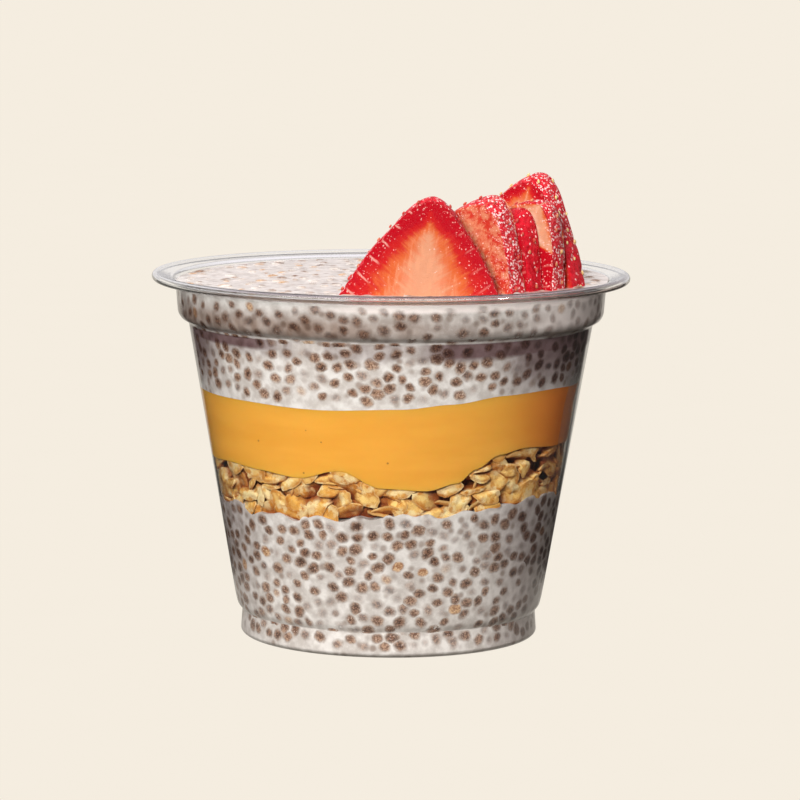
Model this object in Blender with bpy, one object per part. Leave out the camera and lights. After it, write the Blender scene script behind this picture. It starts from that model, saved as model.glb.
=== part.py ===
"""Chia pudding in a clear plastic cup.

Chia pudding, oats, nut butter and chia pudding again lie in layers in the cup, and five
strawberry slices stand in the top layer, fanned from the front to the right. The origin is
on the cup's axis, in the plane it stands on. The front of the cup faces -Y.
"""

import math
import random

import bmesh
import bpy
from mathutils import Euler, Matrix, Vector

MM = 0.001

# Faces that meet at less than this are shaded smooth.
SHARP_ANGLE = math.radians(35)

# Facets round the axis, shared by the cup and all four layers, so that their gaps stay even.
SEGMENTS = 48
STEP = 2 * math.pi / SEGMENTS

# The cup: a foot band under a rounded shoulder, a tapered wall, a ledge, a collar and a rolled rim.
WALL = 0.65 * MM
GAP = 0.3 * MM
BASE_PANEL_Z = 1.1 * MM
BASE_RAMP_RADIUS = 25.8 * MM
FOOT_FLAT_INNER = 26.8 * MM
FOOT_FLAT_OUTER = 28.0 * MM
FOOT_CORNER_RADIUS = 28.7 * MM
FOOT_CORNER_Z = 0.6 * MM
NOTCH_RADIUS = 28.4 * MM
NOTCH_Z = 4.8 * MM
SHOULDER_RADIUS = 29.3 * MM
SHOULDER_Z = 5.8 * MM
WALL_FOOT_RADIUS = 29.75 * MM
WALL_FOOT_Z = 7.6 * MM
WALL_TOP_RADIUS = 38.95 * MM
WALL_TOP_Z = 60.7 * MM
LEDGE_RADIUS = 40.4 * MM
LEDGE_Z = 61.5 * MM
COLLAR_FOOT_RADIUS = 41.0 * MM
COLLAR_FOOT_Z = 62.5 * MM
COLLAR_TOP_RADIUS = 41.4 * MM
COLLAR_TOP_Z = 67.6 * MM
BEAD_CENTRE_RADIUS = 45.0 * MM
BEAD_CENTRE_Z = 69.2 * MM
BEAD_RADIUS = 1.0 * MM
BEAD_POINTS = 7
BEAD_OPENS_AT = math.radians(130)
FLANGE_RADIUS = 43.6 * MM
FLANGE_UNDER_Z = 68.75 * MM
FLANGE_TOP_Z = 69.6 * MM
MOUTH_RADIUS = 42.1 * MM
MOUTH_Z = 69.4 * MM

# The heights where one layer meets the next at the wall, as (azimuth in degrees, height in mm).
OATS_FLOOR = (
    (-169, 26.3), (-152, 26.8), (-135, 26.3), (-110, 26.7), (-79, 27.5), (-60, 28.3), (-32, 29.0),
    (-10, 28.5), (60, 27.5), (120, 26.6),
)
BUTTER_FLOOR = (
    (-168, 35.1), (-150, 35.5), (-135, 35.1), (-120, 34.4), (-106, 36.2), (-92, 33.1), (-78, 32.6),
    (-68, 33.9), (-62, 36.4), (-54, 38.8), (-44, 39.6), (-25, 38.9), (20, 37.4), (70, 35.6), (120, 36.8),
)
BUTTER_CEILING = (
    (-180, 48.3), (-140, 48.2), (-112, 47.8), (-87, 48.3), (-72, 49.1), (-55, 50.2), (-35, 50.4),
    (-15, 50.0), (60, 49.2), (120, 48.6),
)
SURFACE_Z = 68.75 * MM
SURFACE_TILT = 0.35 * MM
SURFACE_SWELL = 0.1 * MM
SURFACE_SWELLS = 3
SURFACE_SWELL_TURN = 0.6

# The rings of each layer's faces, as shares of the way to the wall.
DISC_RINGS = (0.8, 0.45)

# Chia seeds, swollen in the pudding, lying flat on its top and against its side.
SEED_HALF_LENGTH = 1.2 * MM
SEED_HALF_WIDTH = 0.95 * MM
SEED_HALF_THICKNESS = 0.75 * MM
SEED_PROUD = 0.4 * MM
SEEDS_ON_TOP = 74
SEEDS_ROUND_TOP_LAYER = 34
TOP_LAYER_SEED_BAND = (52.5 * MM, 66.1 * MM)
SEEDS_ROUND_BOTTOM_LAYER = 46
BOTTOM_LAYER_SEED_BAND = (8.6 * MM, 24.6 * MM)
SEED_SIZES = (0.88, 1.12)
GOLDEN_ANGLE = math.pi * (3 - math.sqrt(5))

# The rise of the line that points straight out of the cup's wall.
WALL_LEAN = -0.17

# Rolled oats, pressed against the wall.
FLAKE_HALF_LENGTH = 3.4 * MM
FLAKE_HALF_WIDTH = 2.6 * MM
FLAKE_THICKNESS = 0.8 * MM
FLAKE_SIDES = 8
FLAKE_NARROWING = 0.8
FLAKE_SIZES = (0.75, 1.15)
FLAKE_TILTS = (0.45, 0.3)
FLAKES = 44
FLAKE_LEVELS = (0.22, 0.52, 0.8)
FLAKE_DEPTH = 0.45 * MM
OATS_INSET = 0.7 * MM

# One strawberry form, rounded at the tip: radius squared = TIP_ROUND * depth + (SPREAD * depth) squared,
# drawn in again as the depth nears the form's length. What is modelled of it ends a little sooner.
STRAWBERRY_TIP_ROUND = 7.2 * MM
STRAWBERRY_SPREAD = 0.557
STRAWBERRY_LENGTH = 32.0 * MM
STRAWBERRY_MODELLED = 30.4 * MM
STRAWBERRY_RINGS = 9
STRAWBERRY_SIDES = 20
SLICE_SINK = 2.2 * MM

# The slices, from the front to the back: the tip's place in mm; the form's width against the full one;
# the turn about the vertical and the lean to the right, in degrees; the two cut planes, in mm from the
# strawberry's axis. All of them lean back alike, so that the four behind the first lie parallel.
LEAN_BACK = math.radians(8)
SLICES = (
    {"tip": (7.9, -25.8, 86.9), "width": 1.0, "turn": -4, "lean": 5, "cuts": (-2.8, 2.0)},
    {"tip": (20.3, -18.4, 86.4), "width": 1.0, "turn": -30, "lean": 20, "cuts": (-4.4, 0.2)},
    {"tip": (25.5, -16.1, 83.8), "width": 0.95, "turn": -30, "lean": 24, "cuts": (-4.4, -0.2)},
    {"tip": (29.8, -14.7, 85.1), "width": 1.0, "turn": -30, "lean": 29, "cuts": (-3.0, 1.6)},
    {"tip": (28.9, -4.9, 90.0), "width": 0.97, "turn": -30, "lean": 11, "cuts": (-4.2, 0.2)},
)

random.seed(41)


def clear_scene():
    for obj in list(bpy.data.objects):
        bpy.data.objects.remove(obj, do_unlink=True)


def material(name, colour, roughness, alpha=1.0):
    made = bpy.data.materials.new(name)
    made.use_nodes = True
    shader = made.node_tree.nodes["Principled BSDF"]
    shader.inputs["Base Color"].default_value = (*colour, 1.0)
    shader.inputs["Roughness"].default_value = roughness
    shader.inputs["Metallic"].default_value = 0.0
    shader.inputs["Alpha"].default_value = alpha
    made.diffuse_color = (*colour, alpha)
    return made


def add_object(name, mesh_edit):
    """Turns a bmesh into an object in the scene, with its faces pointing out."""
    bmesh.ops.recalc_face_normals(mesh_edit, faces=mesh_edit.faces[:])
    mesh = bpy.data.meshes.new(name)
    mesh_edit.to_mesh(mesh)
    mesh_edit.free()
    obj = bpy.data.objects.new(name, mesh)
    bpy.context.scene.collection.objects.link(obj)
    return obj


def finish(obj, surface):
    """Gives an object its material, smooth where its faces meet at a shallow angle."""
    obj.data.materials.clear()
    obj.data.materials.append(surface)
    obj.data.shade_smooth()
    obj.data.set_sharp_from_angle(angle=SHARP_ANGLE)


def boolean(obj, operation, others):
    """Joins, cuts or trims an object by others, keeps the result as its mesh and removes the others."""
    helpers = bpy.data.collections.new(obj.name + "_helpers")
    bpy.context.scene.collection.children.link(helpers)
    for other in others:
        bpy.context.scene.collection.objects.unlink(other)
        helpers.objects.link(other)
    modifier = obj.modifiers.new("boolean", "BOOLEAN")
    modifier.operation = operation
    modifier.solver = "EXACT"
    modifier.operand_type = "COLLECTION"
    modifier.collection = helpers
    graph = bpy.context.evaluated_depsgraph_get()
    result = bpy.data.meshes.new_from_object(obj.evaluated_get(graph))
    obj.modifiers.clear()
    obj.data = result
    for other in others:
        bpy.data.objects.remove(other, do_unlink=True)
    bpy.data.collections.remove(helpers)


def at(radius, azimuth, height):
    return Vector((radius * math.cos(azimuth), radius * math.sin(azimuth), height))


def offset(path, distance):
    """Moves a (radius, height) path sideways, towards the inside of the cup, by a distance."""
    moved = []
    for index, point in enumerate(path):
        before = path[max(index - 1, 0)]
        after = path[min(index + 1, len(path) - 1)]
        first = Vector((point[0] - before[0], point[1] - before[1]))
        second = Vector((after[0] - point[0], after[1] - point[1]))
        first = (first if first.length else second).normalized()
        second = (second if second.length else first).normalized()
        normals = (Vector((-first.y, first.x)), Vector((-second.y, second.x)))
        shift = (normals[0] + normals[1]) * distance / (1 + normals[0].dot(normals[1]))
        moved.append((point[0] + shift.x, point[1] + shift.y))
    moved[0] = (0.0, moved[0][1])
    return moved


def cup_outline():
    """The cup's outer side as (radius, height), from the middle of its base to the top of its collar."""
    return [
        (0.0, BASE_PANEL_Z),
        (BASE_RAMP_RADIUS, BASE_PANEL_Z),
        (FOOT_FLAT_INNER, 0.0),
        (FOOT_FLAT_OUTER, 0.0),
        (FOOT_CORNER_RADIUS, FOOT_CORNER_Z),
        (NOTCH_RADIUS, NOTCH_Z),
        (SHOULDER_RADIUS, SHOULDER_Z),
        (WALL_FOOT_RADIUS, WALL_FOOT_Z),
        (WALL_TOP_RADIUS, WALL_TOP_Z),
        (LEDGE_RADIUS, LEDGE_Z),
        (COLLAR_FOOT_RADIUS, COLLAR_FOOT_Z),
        (COLLAR_TOP_RADIUS, COLLAR_TOP_Z),
    ]


def rim_outline():
    """The rest of the cup's section: under the flange, round the rolled bead and back to the mouth."""
    points = [(FLANGE_RADIUS, FLANGE_UNDER_Z)]
    for index in range(BEAD_POINTS):
        angle = BEAD_OPENS_AT * (2 * index / (BEAD_POINTS - 1) - 1)
        across = BEAD_RADIUS * math.cos(angle)
        up = BEAD_RADIUS * math.sin(angle)
        points.append((BEAD_CENTRE_RADIUS + across, BEAD_CENTRE_Z + up))
    points.append((FLANGE_RADIUS, FLANGE_TOP_Z))
    return points


def inner_side(distance):
    """A path that keeps a distance from the cup's outer side, up to the mouth."""
    return offset(cup_outline(), distance) + [(MOUTH_RADIUS - distance + WALL, MOUTH_Z)]


def radius_at(path, height):
    """The radius of a path on its part above the foot, where it only rises."""
    rising = [point for point in path if point[1] > NOTCH_Z]
    for low, high in zip(rising, rising[1:]):
        if height <= high[1]:
            share = (height - low[1]) / (high[1] - low[1])
            return low[0] + share * (high[0] - low[0])
    return rising[-1][0]


def wave(heights, azimuth):
    """A smooth height between the nearest two of a ring of (azimuth, height) pairs."""
    degrees = math.degrees(azimuth)
    for index, (start, height) in enumerate(heights):
        end, next_height = heights[(index + 1) % len(heights)]
        span = (end - start) % 360
        along = (degrees - start) % 360
        if along < span:
            share = 0.5 - 0.5 * math.cos(math.pi * along / span)
            return (height + share * (next_height - height)) * MM
    return heights[0][1] * MM


def swell(azimuth):
    """The height of the top surface at the wall: highest on the right and a little uneven."""
    unevenness = SURFACE_SWELL * math.sin(SURFACE_SWELLS * azimuth + SURFACE_SWELL_TURN)
    return SURFACE_Z + SURFACE_TILT * math.cos(azimuth) + unevenness


def surface_height(radius, azimuth, reach):
    """The height of the top surface away from the wall, where it levels out towards the middle."""
    return SURFACE_Z + (radius / reach) ** 2 * (swell(azimuth) - SURFACE_Z)


def layer(name, floor, ceiling, side, lower_side=()):
    """One layer as a closed solid: side and lower_side are (radius, height) points between its two faces."""
    mesh_edit = bmesh.new()
    rings = []
    floor_mean = sum(floor(index * STEP) for index in range(SEGMENTS)) / SEGMENTS if floor else 0.0
    ceiling_mean = sum(ceiling(index * STEP) for index in range(SEGMENTS)) / SEGMENTS

    def ring(radius_of, height_of):
        made = []
        for index in range(SEGMENTS):
            azimuth = index * STEP
            made.append(mesh_edit.verts.new(at(radius_of(azimuth), azimuth, height_of(azimuth))))
        rings.append(made)

    def face_ring(height, mean, share):
        ring(
            lambda azimuth: share * radius_at(side, height(azimuth)),
            lambda azimuth: mean + share**2 * (height(azimuth) - mean),
        )

    if floor:
        bottom = mesh_edit.verts.new((0, 0, floor_mean))
        for share in (*reversed(DISC_RINGS), 1.0):
            face_ring(floor, floor_mean, share)
    else:
        bottom = mesh_edit.verts.new((0, 0, lower_side[0][1]))
        for radius, height in lower_side[1:]:
            ring(lambda azimuth, radius=radius: radius, lambda azimuth, height=height: height)
    highest_floor = max(floor(index * STEP) for index in range(SEGMENTS)) if floor else WALL_FOOT_Z
    lowest_ceiling = min(ceiling(index * STEP) for index in range(SEGMENTS))
    for radius, height in side:
        if highest_floor + MM < height < lowest_ceiling - 0.5 * MM:
            ring(lambda azimuth, radius=radius: radius, lambda azimuth, height=height: height)
    for share in (1.0, *DISC_RINGS):
        face_ring(ceiling, ceiling_mean, share)
    top = mesh_edit.verts.new((0, 0, ceiling_mean))
    for index in range(SEGMENTS):
        after = (index + 1) % SEGMENTS
        mesh_edit.faces.new((bottom, rings[0][after], rings[0][index]))
        mesh_edit.faces.new((top, rings[-1][index], rings[-1][after]))
        for low, high in zip(rings, rings[1:]):
            mesh_edit.faces.new((low[index], low[after], high[after]))
            mesh_edit.faces.new((low[index], high[after], high[index]))
    return add_object(name, mesh_edit)


def shifted(heights, distance):
    return lambda azimuth: wave(heights, azimuth) + distance


def cup():
    outer = cup_outline()
    section = outer + rim_outline() + inner_side(WALL)[::-1]
    mesh_edit = bmesh.new()
    rings = []
    for radius, height in section[1:-1]:
        rings.append([mesh_edit.verts.new(at(radius, index * STEP, height)) for index in range(SEGMENTS)])
    outside = mesh_edit.verts.new((0, 0, section[0][1]))
    inside = mesh_edit.verts.new((0, 0, section[-1][1]))
    for index in range(SEGMENTS):
        after = (index + 1) % SEGMENTS
        mesh_edit.faces.new((outside, rings[0][after], rings[0][index]))
        mesh_edit.faces.new((inside, rings[-1][index], rings[-1][after]))
        for low, high in zip(rings, rings[1:]):
            mesh_edit.faces.new((low[index], low[after], high[after], high[index]))
    return add_object("cup", mesh_edit)


def seed(place, outward):
    """A low ellipsoid whose flat side faces outward, turned at random about that direction."""
    mesh_edit = bmesh.new()
    bmesh.ops.create_uvsphere(mesh_edit, u_segments=6, v_segments=4, radius=1.0)
    size = random.uniform(*SEED_SIZES)
    shape = Matrix.Diagonal((SEED_HALF_LENGTH * size, SEED_HALF_WIDTH * size, SEED_HALF_THICKNESS, 1.0))
    spin = Matrix.Rotation(random.uniform(0, math.pi), 4, "Z")
    aim = outward.to_track_quat("Z", "Y").to_matrix().to_4x4()
    centre = place - outward * (SEED_HALF_THICKNESS - SEED_PROUD)
    mesh_edit.transform(Matrix.Translation(centre) @ aim @ spin @ shape)
    return add_object("seed", mesh_edit)


def seeds_on_top(side):
    """Seeds spread evenly over the top surface, clear of the wall."""
    made = []
    wall = radius_at(side, SURFACE_Z)
    reach = wall - 1.5 * SEED_HALF_LENGTH
    for index in range(SEEDS_ON_TOP):
        radius = reach * math.sqrt((index + 0.5) / SEEDS_ON_TOP)
        azimuth = index * GOLDEN_ANGLE
        made.append(seed(at(radius, azimuth, surface_height(radius, azimuth, wall)), Vector((0, 0, 1))))
    return made


def on_wall(radius, azimuth, height):
    """A place at a layer's side, and the direction that points out of it."""
    return at(radius, azimuth, height), at(1.0, azimuth, WALL_LEAN).normalized()


def seeds_round(side, band, count):
    """Seeds spread evenly round a layer's side, between two heights."""
    made = []
    for index in range(count):
        height = band[0] + (band[1] - band[0]) * (index + 0.5) / count
        made.append(seed(*on_wall(radius_at(side, height), index * GOLDEN_ANGLE, height)))
    return made


def flake(place, outward):
    """A rolled oat: a thin disc with its rim drawn in, standing roughly against the wall."""
    mesh_edit = bmesh.new()
    bmesh.ops.create_cone(
        mesh_edit, cap_ends=True, segments=FLAKE_SIDES, radius1=1.0, radius2=FLAKE_NARROWING, depth=1.0,
    )
    size = random.uniform(*FLAKE_SIZES)
    shape = Matrix.Diagonal((FLAKE_HALF_LENGTH * size, FLAKE_HALF_WIDTH * size, FLAKE_THICKNESS, 1.0))
    tilts = [random.uniform(-most, most) for most in FLAKE_TILTS]
    tilt = Euler((*tilts, random.uniform(0, math.pi)))
    aim = outward.to_track_quat("Z", "Y").to_matrix().to_4x4()
    mesh_edit.transform(Matrix.Translation(place) @ aim @ tilt.to_matrix().to_4x4() @ shape)
    return add_object("flake", mesh_edit)


def flakes_round(side, floor, ceiling):
    """Flakes in the band between the two faces of the oats, low, middle and high in turn."""
    made = []
    for index in range(FLAKES):
        azimuth = index * GOLDEN_ANGLE
        share = FLAKE_LEVELS[index % len(FLAKE_LEVELS)]
        height = floor(azimuth) + share * (ceiling(azimuth) - floor(azimuth))
        radius = radius_at(side, height) - FLAKE_DEPTH
        made.append(flake(*on_wall(radius, azimuth, height)))
    return made


def cut_plane(mesh_edit, point, normal):
    """Cuts off what lies beyond a plane, on the side its normal points to, and closes the cut."""
    geometry = mesh_edit.verts[:] + mesh_edit.edges[:] + mesh_edit.faces[:]
    cut = bmesh.ops.bisect_plane(
        mesh_edit, geom=geometry, plane_co=point, plane_no=normal, clear_outer=True, dist=1e-6,
    )
    edges = [item for item in cut["geom_cut"] if isinstance(item, bmesh.types.BMEdge)]
    bmesh.ops.holes_fill(mesh_edit, edges=edges)


def strawberry_radius(depth):
    """The radius of the strawberry form at a depth below its tip."""
    cone = math.sqrt(STRAWBERRY_TIP_ROUND * depth + (STRAWBERRY_SPREAD * depth) ** 2)
    return cone * math.sqrt(1 - (depth / STRAWBERRY_LENGTH) ** 6)


def strawberry_slice(name, place, grown=0.0):
    """A slab cut lengthwise from the strawberry form, tip up, and cut off level in the pudding."""
    mesh_edit = bmesh.new()
    step = 2 * math.pi / STRAWBERRY_SIDES
    rings = []
    for index in range(1, STRAWBERRY_RINGS + 1):
        depth = STRAWBERRY_MODELLED * (index / STRAWBERRY_RINGS) ** 1.5
        radius = place["width"] * strawberry_radius(depth) + grown
        ring = [mesh_edit.verts.new(at(radius, side * step, -depth)) for side in range(STRAWBERRY_SIDES)]
        rings.append(ring)
    tip = mesh_edit.verts.new((0, 0, grown))
    for side in range(STRAWBERRY_SIDES):
        after = (side + 1) % STRAWBERRY_SIDES
        mesh_edit.faces.new((tip, rings[0][side], rings[0][after]))
        for high, low in zip(rings, rings[1:]):
            mesh_edit.faces.new((high[side], low[side], low[after], high[after]))
    mesh_edit.faces.new(list(reversed(rings[-1])))
    front, rear = place["cuts"]
    cut_plane(mesh_edit, Vector((0, front * MM - grown, 0)), Vector((0, -1, 0)))
    cut_plane(mesh_edit, Vector((0, rear * MM + grown, 0)), Vector((0, 1, 0)))
    turn = Matrix.Rotation(math.radians(place["turn"]), 4, "Z")
    back = Matrix.Rotation(-LEAN_BACK, 4, "X")
    lean = Matrix.Rotation(math.radians(place["lean"]), 4, "Y")
    mesh_edit.transform(Matrix.Translation(Vector(place["tip"]) * MM) @ turn @ back @ lean)
    cut_plane(mesh_edit, Vector((0, 0, SURFACE_Z - SLICE_SINK - grown)), Vector((0, 0, -1)))
    return add_object(name, mesh_edit)


def main():
    clear_scene()
    shell = cup()
    side = inner_side(WALL + GAP)
    seeded_side = inner_side(WALL + GAP + SEED_PROUD)
    oats_side = inner_side(WALL + GAP + OATS_INSET)
    half = GAP / 2

    bottom = layer("chia_bottom", None, shifted(OATS_FLOOR, -half), seeded_side, [*side[:7], seeded_side[7]])
    boolean(bottom, "UNION", seeds_round(seeded_side, BOTTOM_LAYER_SEED_BAND, SEEDS_ROUND_BOTTOM_LAYER))

    floor, ceiling = shifted(OATS_FLOOR, half), shifted(BUTTER_FLOOR, -half)
    oats = layer("oats", floor, ceiling, oats_side)
    boolean(oats, "UNION", flakes_round(side, floor, ceiling))
    boolean(oats, "INTERSECT", [layer("trim", floor, ceiling, side)])

    spread = layer("nut_butter", shifted(BUTTER_FLOOR, half), shifted(BUTTER_CEILING, -half), side)

    top = layer("chia_top", shifted(BUTTER_CEILING, half), swell, seeded_side)
    seeds = seeds_round(seeded_side, TOP_LAYER_SEED_BAND, SEEDS_ROUND_TOP_LAYER)
    boolean(top, "UNION", seeds + seeds_on_top(seeded_side))
    slices = [strawberry_slice(f"strawberry_{number}", place) for number, place in enumerate(SLICES, start=1)]
    boolean(top, "DIFFERENCE", [strawberry_slice("pocket", place, GAP) for place in SLICES])

    finish(shell, material("clear_plastic", (0.86, 0.88, 0.88), 0.08, 0.35))
    pudding = material("pudding", (0.72, 0.64, 0.58), 0.35)
    finish(bottom, pudding)
    finish(top, pudding)
    finish(oats, material("oat", (0.78, 0.56, 0.27), 0.8))
    finish(spread, material("butter", (0.8, 0.42, 0.1), 0.45))
    strawberry = material("strawberry", (0.8, 0.06, 0.05), 0.3)
    for piece in slices:
        finish(piece, strawberry)


main()
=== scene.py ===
"""Looks for the layered chia pudding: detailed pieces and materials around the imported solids.

The cup is a thin clear shell with a curled rim. Each layer reaches just into its wall, and the seeds and
oat flakes are meshes of their own. The strawberry slices carry their flesh pattern in the strawberry's own
coordinates. Shapes are worked out in mm in the solids' frame, in which the front faces -Y. Materials,
lights and the camera are in metres.
"""

import math
from functools import partial, partialmethod

import bmesh
import bpy
import numpy as np
from mathutils import Matrix, Vector, noise

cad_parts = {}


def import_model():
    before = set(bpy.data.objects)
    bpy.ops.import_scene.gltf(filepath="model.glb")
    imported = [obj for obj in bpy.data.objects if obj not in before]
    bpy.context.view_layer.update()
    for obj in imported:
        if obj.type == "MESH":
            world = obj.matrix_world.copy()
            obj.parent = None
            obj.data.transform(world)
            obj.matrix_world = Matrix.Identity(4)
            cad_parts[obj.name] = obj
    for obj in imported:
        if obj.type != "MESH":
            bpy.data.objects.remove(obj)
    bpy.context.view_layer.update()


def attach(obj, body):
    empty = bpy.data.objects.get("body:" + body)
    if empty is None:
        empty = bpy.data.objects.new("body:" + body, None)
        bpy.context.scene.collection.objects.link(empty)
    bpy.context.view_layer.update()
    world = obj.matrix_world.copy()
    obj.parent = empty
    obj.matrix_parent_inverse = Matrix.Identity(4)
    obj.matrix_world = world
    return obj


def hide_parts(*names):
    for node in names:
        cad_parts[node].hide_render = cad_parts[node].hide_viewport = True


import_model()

MM = 0.001

# The camera that matches the photograph.
CAMERA_PLACE = (0.0019, -0.780, 0.1493)
CAMERA_DIP = math.radians(7.6)
CAMERA_ROLL = 0.00785
CAMERA_LENS = 183.15
SENSOR = 36.0

# The cup's outer side as (radius, height) with the rounding of each corner, then its curled rim.
CUP_SIDE = (
    (0.0, 1.1, 0.0), (25.8, 1.1, 0.3), (26.8, 0.0, 0.3), (28.0, 0.0, 0.4), (28.7, 0.6, 0.4),
    (28.4, 4.8, 0.25), (29.3, 5.8, 0.5), (29.75, 7.6, 1.0), (38.95, 60.7, 0.7), (40.4, 61.5, 0.4),
    (41.0, 62.5, 0.5), (41.4, 67.6, 0.7),
)
WALL = 0.5
CURL_CENTRE = (45.18, 69.38)
CURL_RADIUS = 0.82
CURL_SHEET = 0.36
CURL_END = math.radians(-150)
CURL_START = math.radians(108)
FLANGE_UNDER = ((42.35, 68.85, 0.5), (43.75, 69.28, 0.4))
FLANGE_TOP = ((43.6, 69.72, 0.4), (42.1, 69.35, 0.5))
CUP_COLUMNS = 224
FILLET_STEPS = 5
FILLET_SHARE = 0.45
CURL_STEPS = 18

# The heights where one layer meets the next at the wall, as (azimuth in degrees, height).
OATS_FLOOR = (
    (-169, 26.3), (-152, 26.8), (-135, 26.3), (-110, 26.7), (-79, 27.5), (-60, 28.3), (-32, 29.0),
    (-10, 28.5), (60, 27.5), (120, 26.6),
)
BUTTER_FLOOR = (
    (-168, 35.1), (-150, 35.5), (-135, 35.1), (-120, 34.4), (-106, 36.2), (-92, 33.1), (-78, 32.6),
    (-68, 33.9), (-62, 36.4), (-54, 38.8), (-44, 39.6), (-25, 38.9), (20, 37.4), (70, 35.6), (120, 36.8),
)
BUTTER_CEILING = (
    (-180, 48.3), (-140, 48.2), (-112, 47.8), (-87, 48.3), (-72, 49.1), (-55, 50.2), (-35, 50.4),
    (-15, 50.0), (60, 49.2), (120, 48.6),
)

# The top surface: its height, its tilt towards the right and its three low waves, then its radius and the
# width of the edge in which its bumps fade out.
SURFACE_Z = 68.75
SURFACE_TILT = 0.35
SURFACE_SWELL = 0.1
SURFACE_PHASE = 0.6
SURFACE_RADIUS = 41.0
SURFACE_EDGE = 2.5

# The lower pudding creeps up into the oats by a mean amount, and unevenly with bumps of this length.
GEL_CREEP = 0.15
GEL_RAGGED = 1.7
GEL_BUMP = 3.9
GEL_EDGE_RADIUS = 33.0

# On the right a pocket of air parts the food from the wall: its depth at each height, and the azimuths in
# degrees between which it comes and goes.
POCKET = ((29.0, 0.0), (33.0, 0.08), (39.0, 0.28), (46.0, 0.35), (51.0, 0.2), (57.0, 0.08), (60.5, 0.0))
POCKET_COMES = (-29.0, -11.0)
POCKET_GOES = (20.0, 55.0)

# The layers' meshes: how far they reach into the wall and where their side ends, then their rows. The rows
# in the foot and in the collar follow the bends of the wall, and the others are spread evenly.
SINK_IN_WALL = 0.05
FOOD_SIDE_END = (42.3, 69.9, 0.0)
LAYER_COLUMNS = 240
LAYER_ROWS = 14
FACE_RINGS = 44
FOOT_ROWS_END, WALL_ROWS_START = 9.0, 9.2
WALL_ROWS_END, COLLAR_ROWS = 59.8, (60.0, 68.2)

# Swollen chia seeds at the wall: their half sizes and how these vary, how far they stand out of the gel,
# how they are turned and kept apart, their meshes, the wall's slope beside them and where they lie.
SEED_HALF = (1.72, 1.38, 0.6)
SEED_SIZES = (0.78, 1.12)
SEED_LIFT = 0.08
SEED_PROUD = (0.01, 0.035)
SEED_MARGIN = 0.003
SEED_TURN = 0.6
SEED_SPACING = 2.1
SEED_STRETCH = 1.13
SEED_TRIES = 16000
SEED_COLUMNS = 16
SEED_RINGS = 3
SEED_TOP_SHARES = (0.35, 0.6, 0.8, 0.92, 1.0)
SEED_SLOPE_STEP = 0.4
SEED_STEEPEST = 0.6
SEED_SOFT_SHARE = 0.4
LOWEST_SEEDS = 2.1
SEEDS_BELOW_OATS = -1.1
SEEDS_ABOVE_BUTTER = 1.6
SEEDS_BELOW_TOP = -1.6

# Above the ledge the seeds' tone and softness are drawn towards these values.
LEDGE_Z = 61.3
COLLAR_DRAW = (0.6, 0.6, 0.0)
COLLAR_KIND = (0.1, 0.75, 0.0)

# Seeds in the top surface, and the humps and roughness of the gel over them.
TOP_SEED_SIZES = (0.8, 1.1)
TOP_SEED_SPACING = 3.3
TOP_SEED_TRIES = 9000
TOP_SEED_REACH = 39.6
TOP_SEED_SUNK = 0.33
TOP_SEED_LEAN = 0.12
TOP_SEED_RINGS = 5
TOP_SOFT_SHARE = 0.6
TOP_LEAST_SOFT = 0.35
TOP_TAN_SHARE = 0.35
HUMP_HEIGHT, HUMP_SPREAD = 0.22, 1.3
TOP_ROUGH, TOP_ROUGH_LENGTH = 0.12, 5.0

# Rolled oats: half sizes of a flake, how much they vary, the waves of its outline as (number, most), the
# two straight breaks that may cut it off, then its bend, its thickness, its crease and its mesh.
FLAKE_HALF = (3.35, 2.15)
FLAKE_SIZES = (0.66, 1.15)
FLAKE_WAVES = ((2, 0.08), (3, 0.09), (5, 0.08), (7, 0.06), (9, 0.04))
FLAKE_BREAKS = (0.7, 1.15)
FLAKE_LEAST_REACH = 0.6
FLAKE_BEND = (0.01, 0.05)
FLAKE_THICK, FLAKE_EDGE = 0.3, 0.07
FLAKE_CREASE, FLAKE_CREASE_WIDTH = -0.25, 0.28
FLAKE_RINGS = 5
FLAKE_COLUMNS = 22

# How the flakes lie: two layers with their spacing, depths behind the wall and tilt, how far the flakes
# that would reach through the wall are pressed in, where they end, how they turn and which stand on edge,
# and the core behind them, painted dark as painted shade between the flakes.
FLAKE_STRETCH = 1.3
FLAKE_TRIES = 3000
FLAKE_PRESSED = (0.0, 0.4)
FLAKE_GAP = 0.02
FRONT_FLAKES = {"spacing": 2.75, "depths": (0.2, 1.3), "tilt": 0.36}
BACK_FLAKES = {"spacing": 2.75, "depths": (1.6, 2.7), "tilt": 0.4}
FLAKES_ABOVE_FLOOR = 0.2
FLAKES_INTO_BUTTER = 0.6
FLAKE_TURN = 0.55
ON_EDGE_SHARE = 0.3
ON_EDGE_LEANS, ON_EDGE_SCALES = (-1.3, 1.3), (0.6, 1.6)
OAT_CORE_DEPTH = 3.4

# The strawberry form: its rounded tip, how it widens, and its length.
TIP_ROUND = 7.2
SPREAD = 0.557
BERRY_LENGTH = 32.0
LEAN_BACK = math.radians(8)
SLICE_FOOT_Z = SURFACE_Z - 2.2
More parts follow.
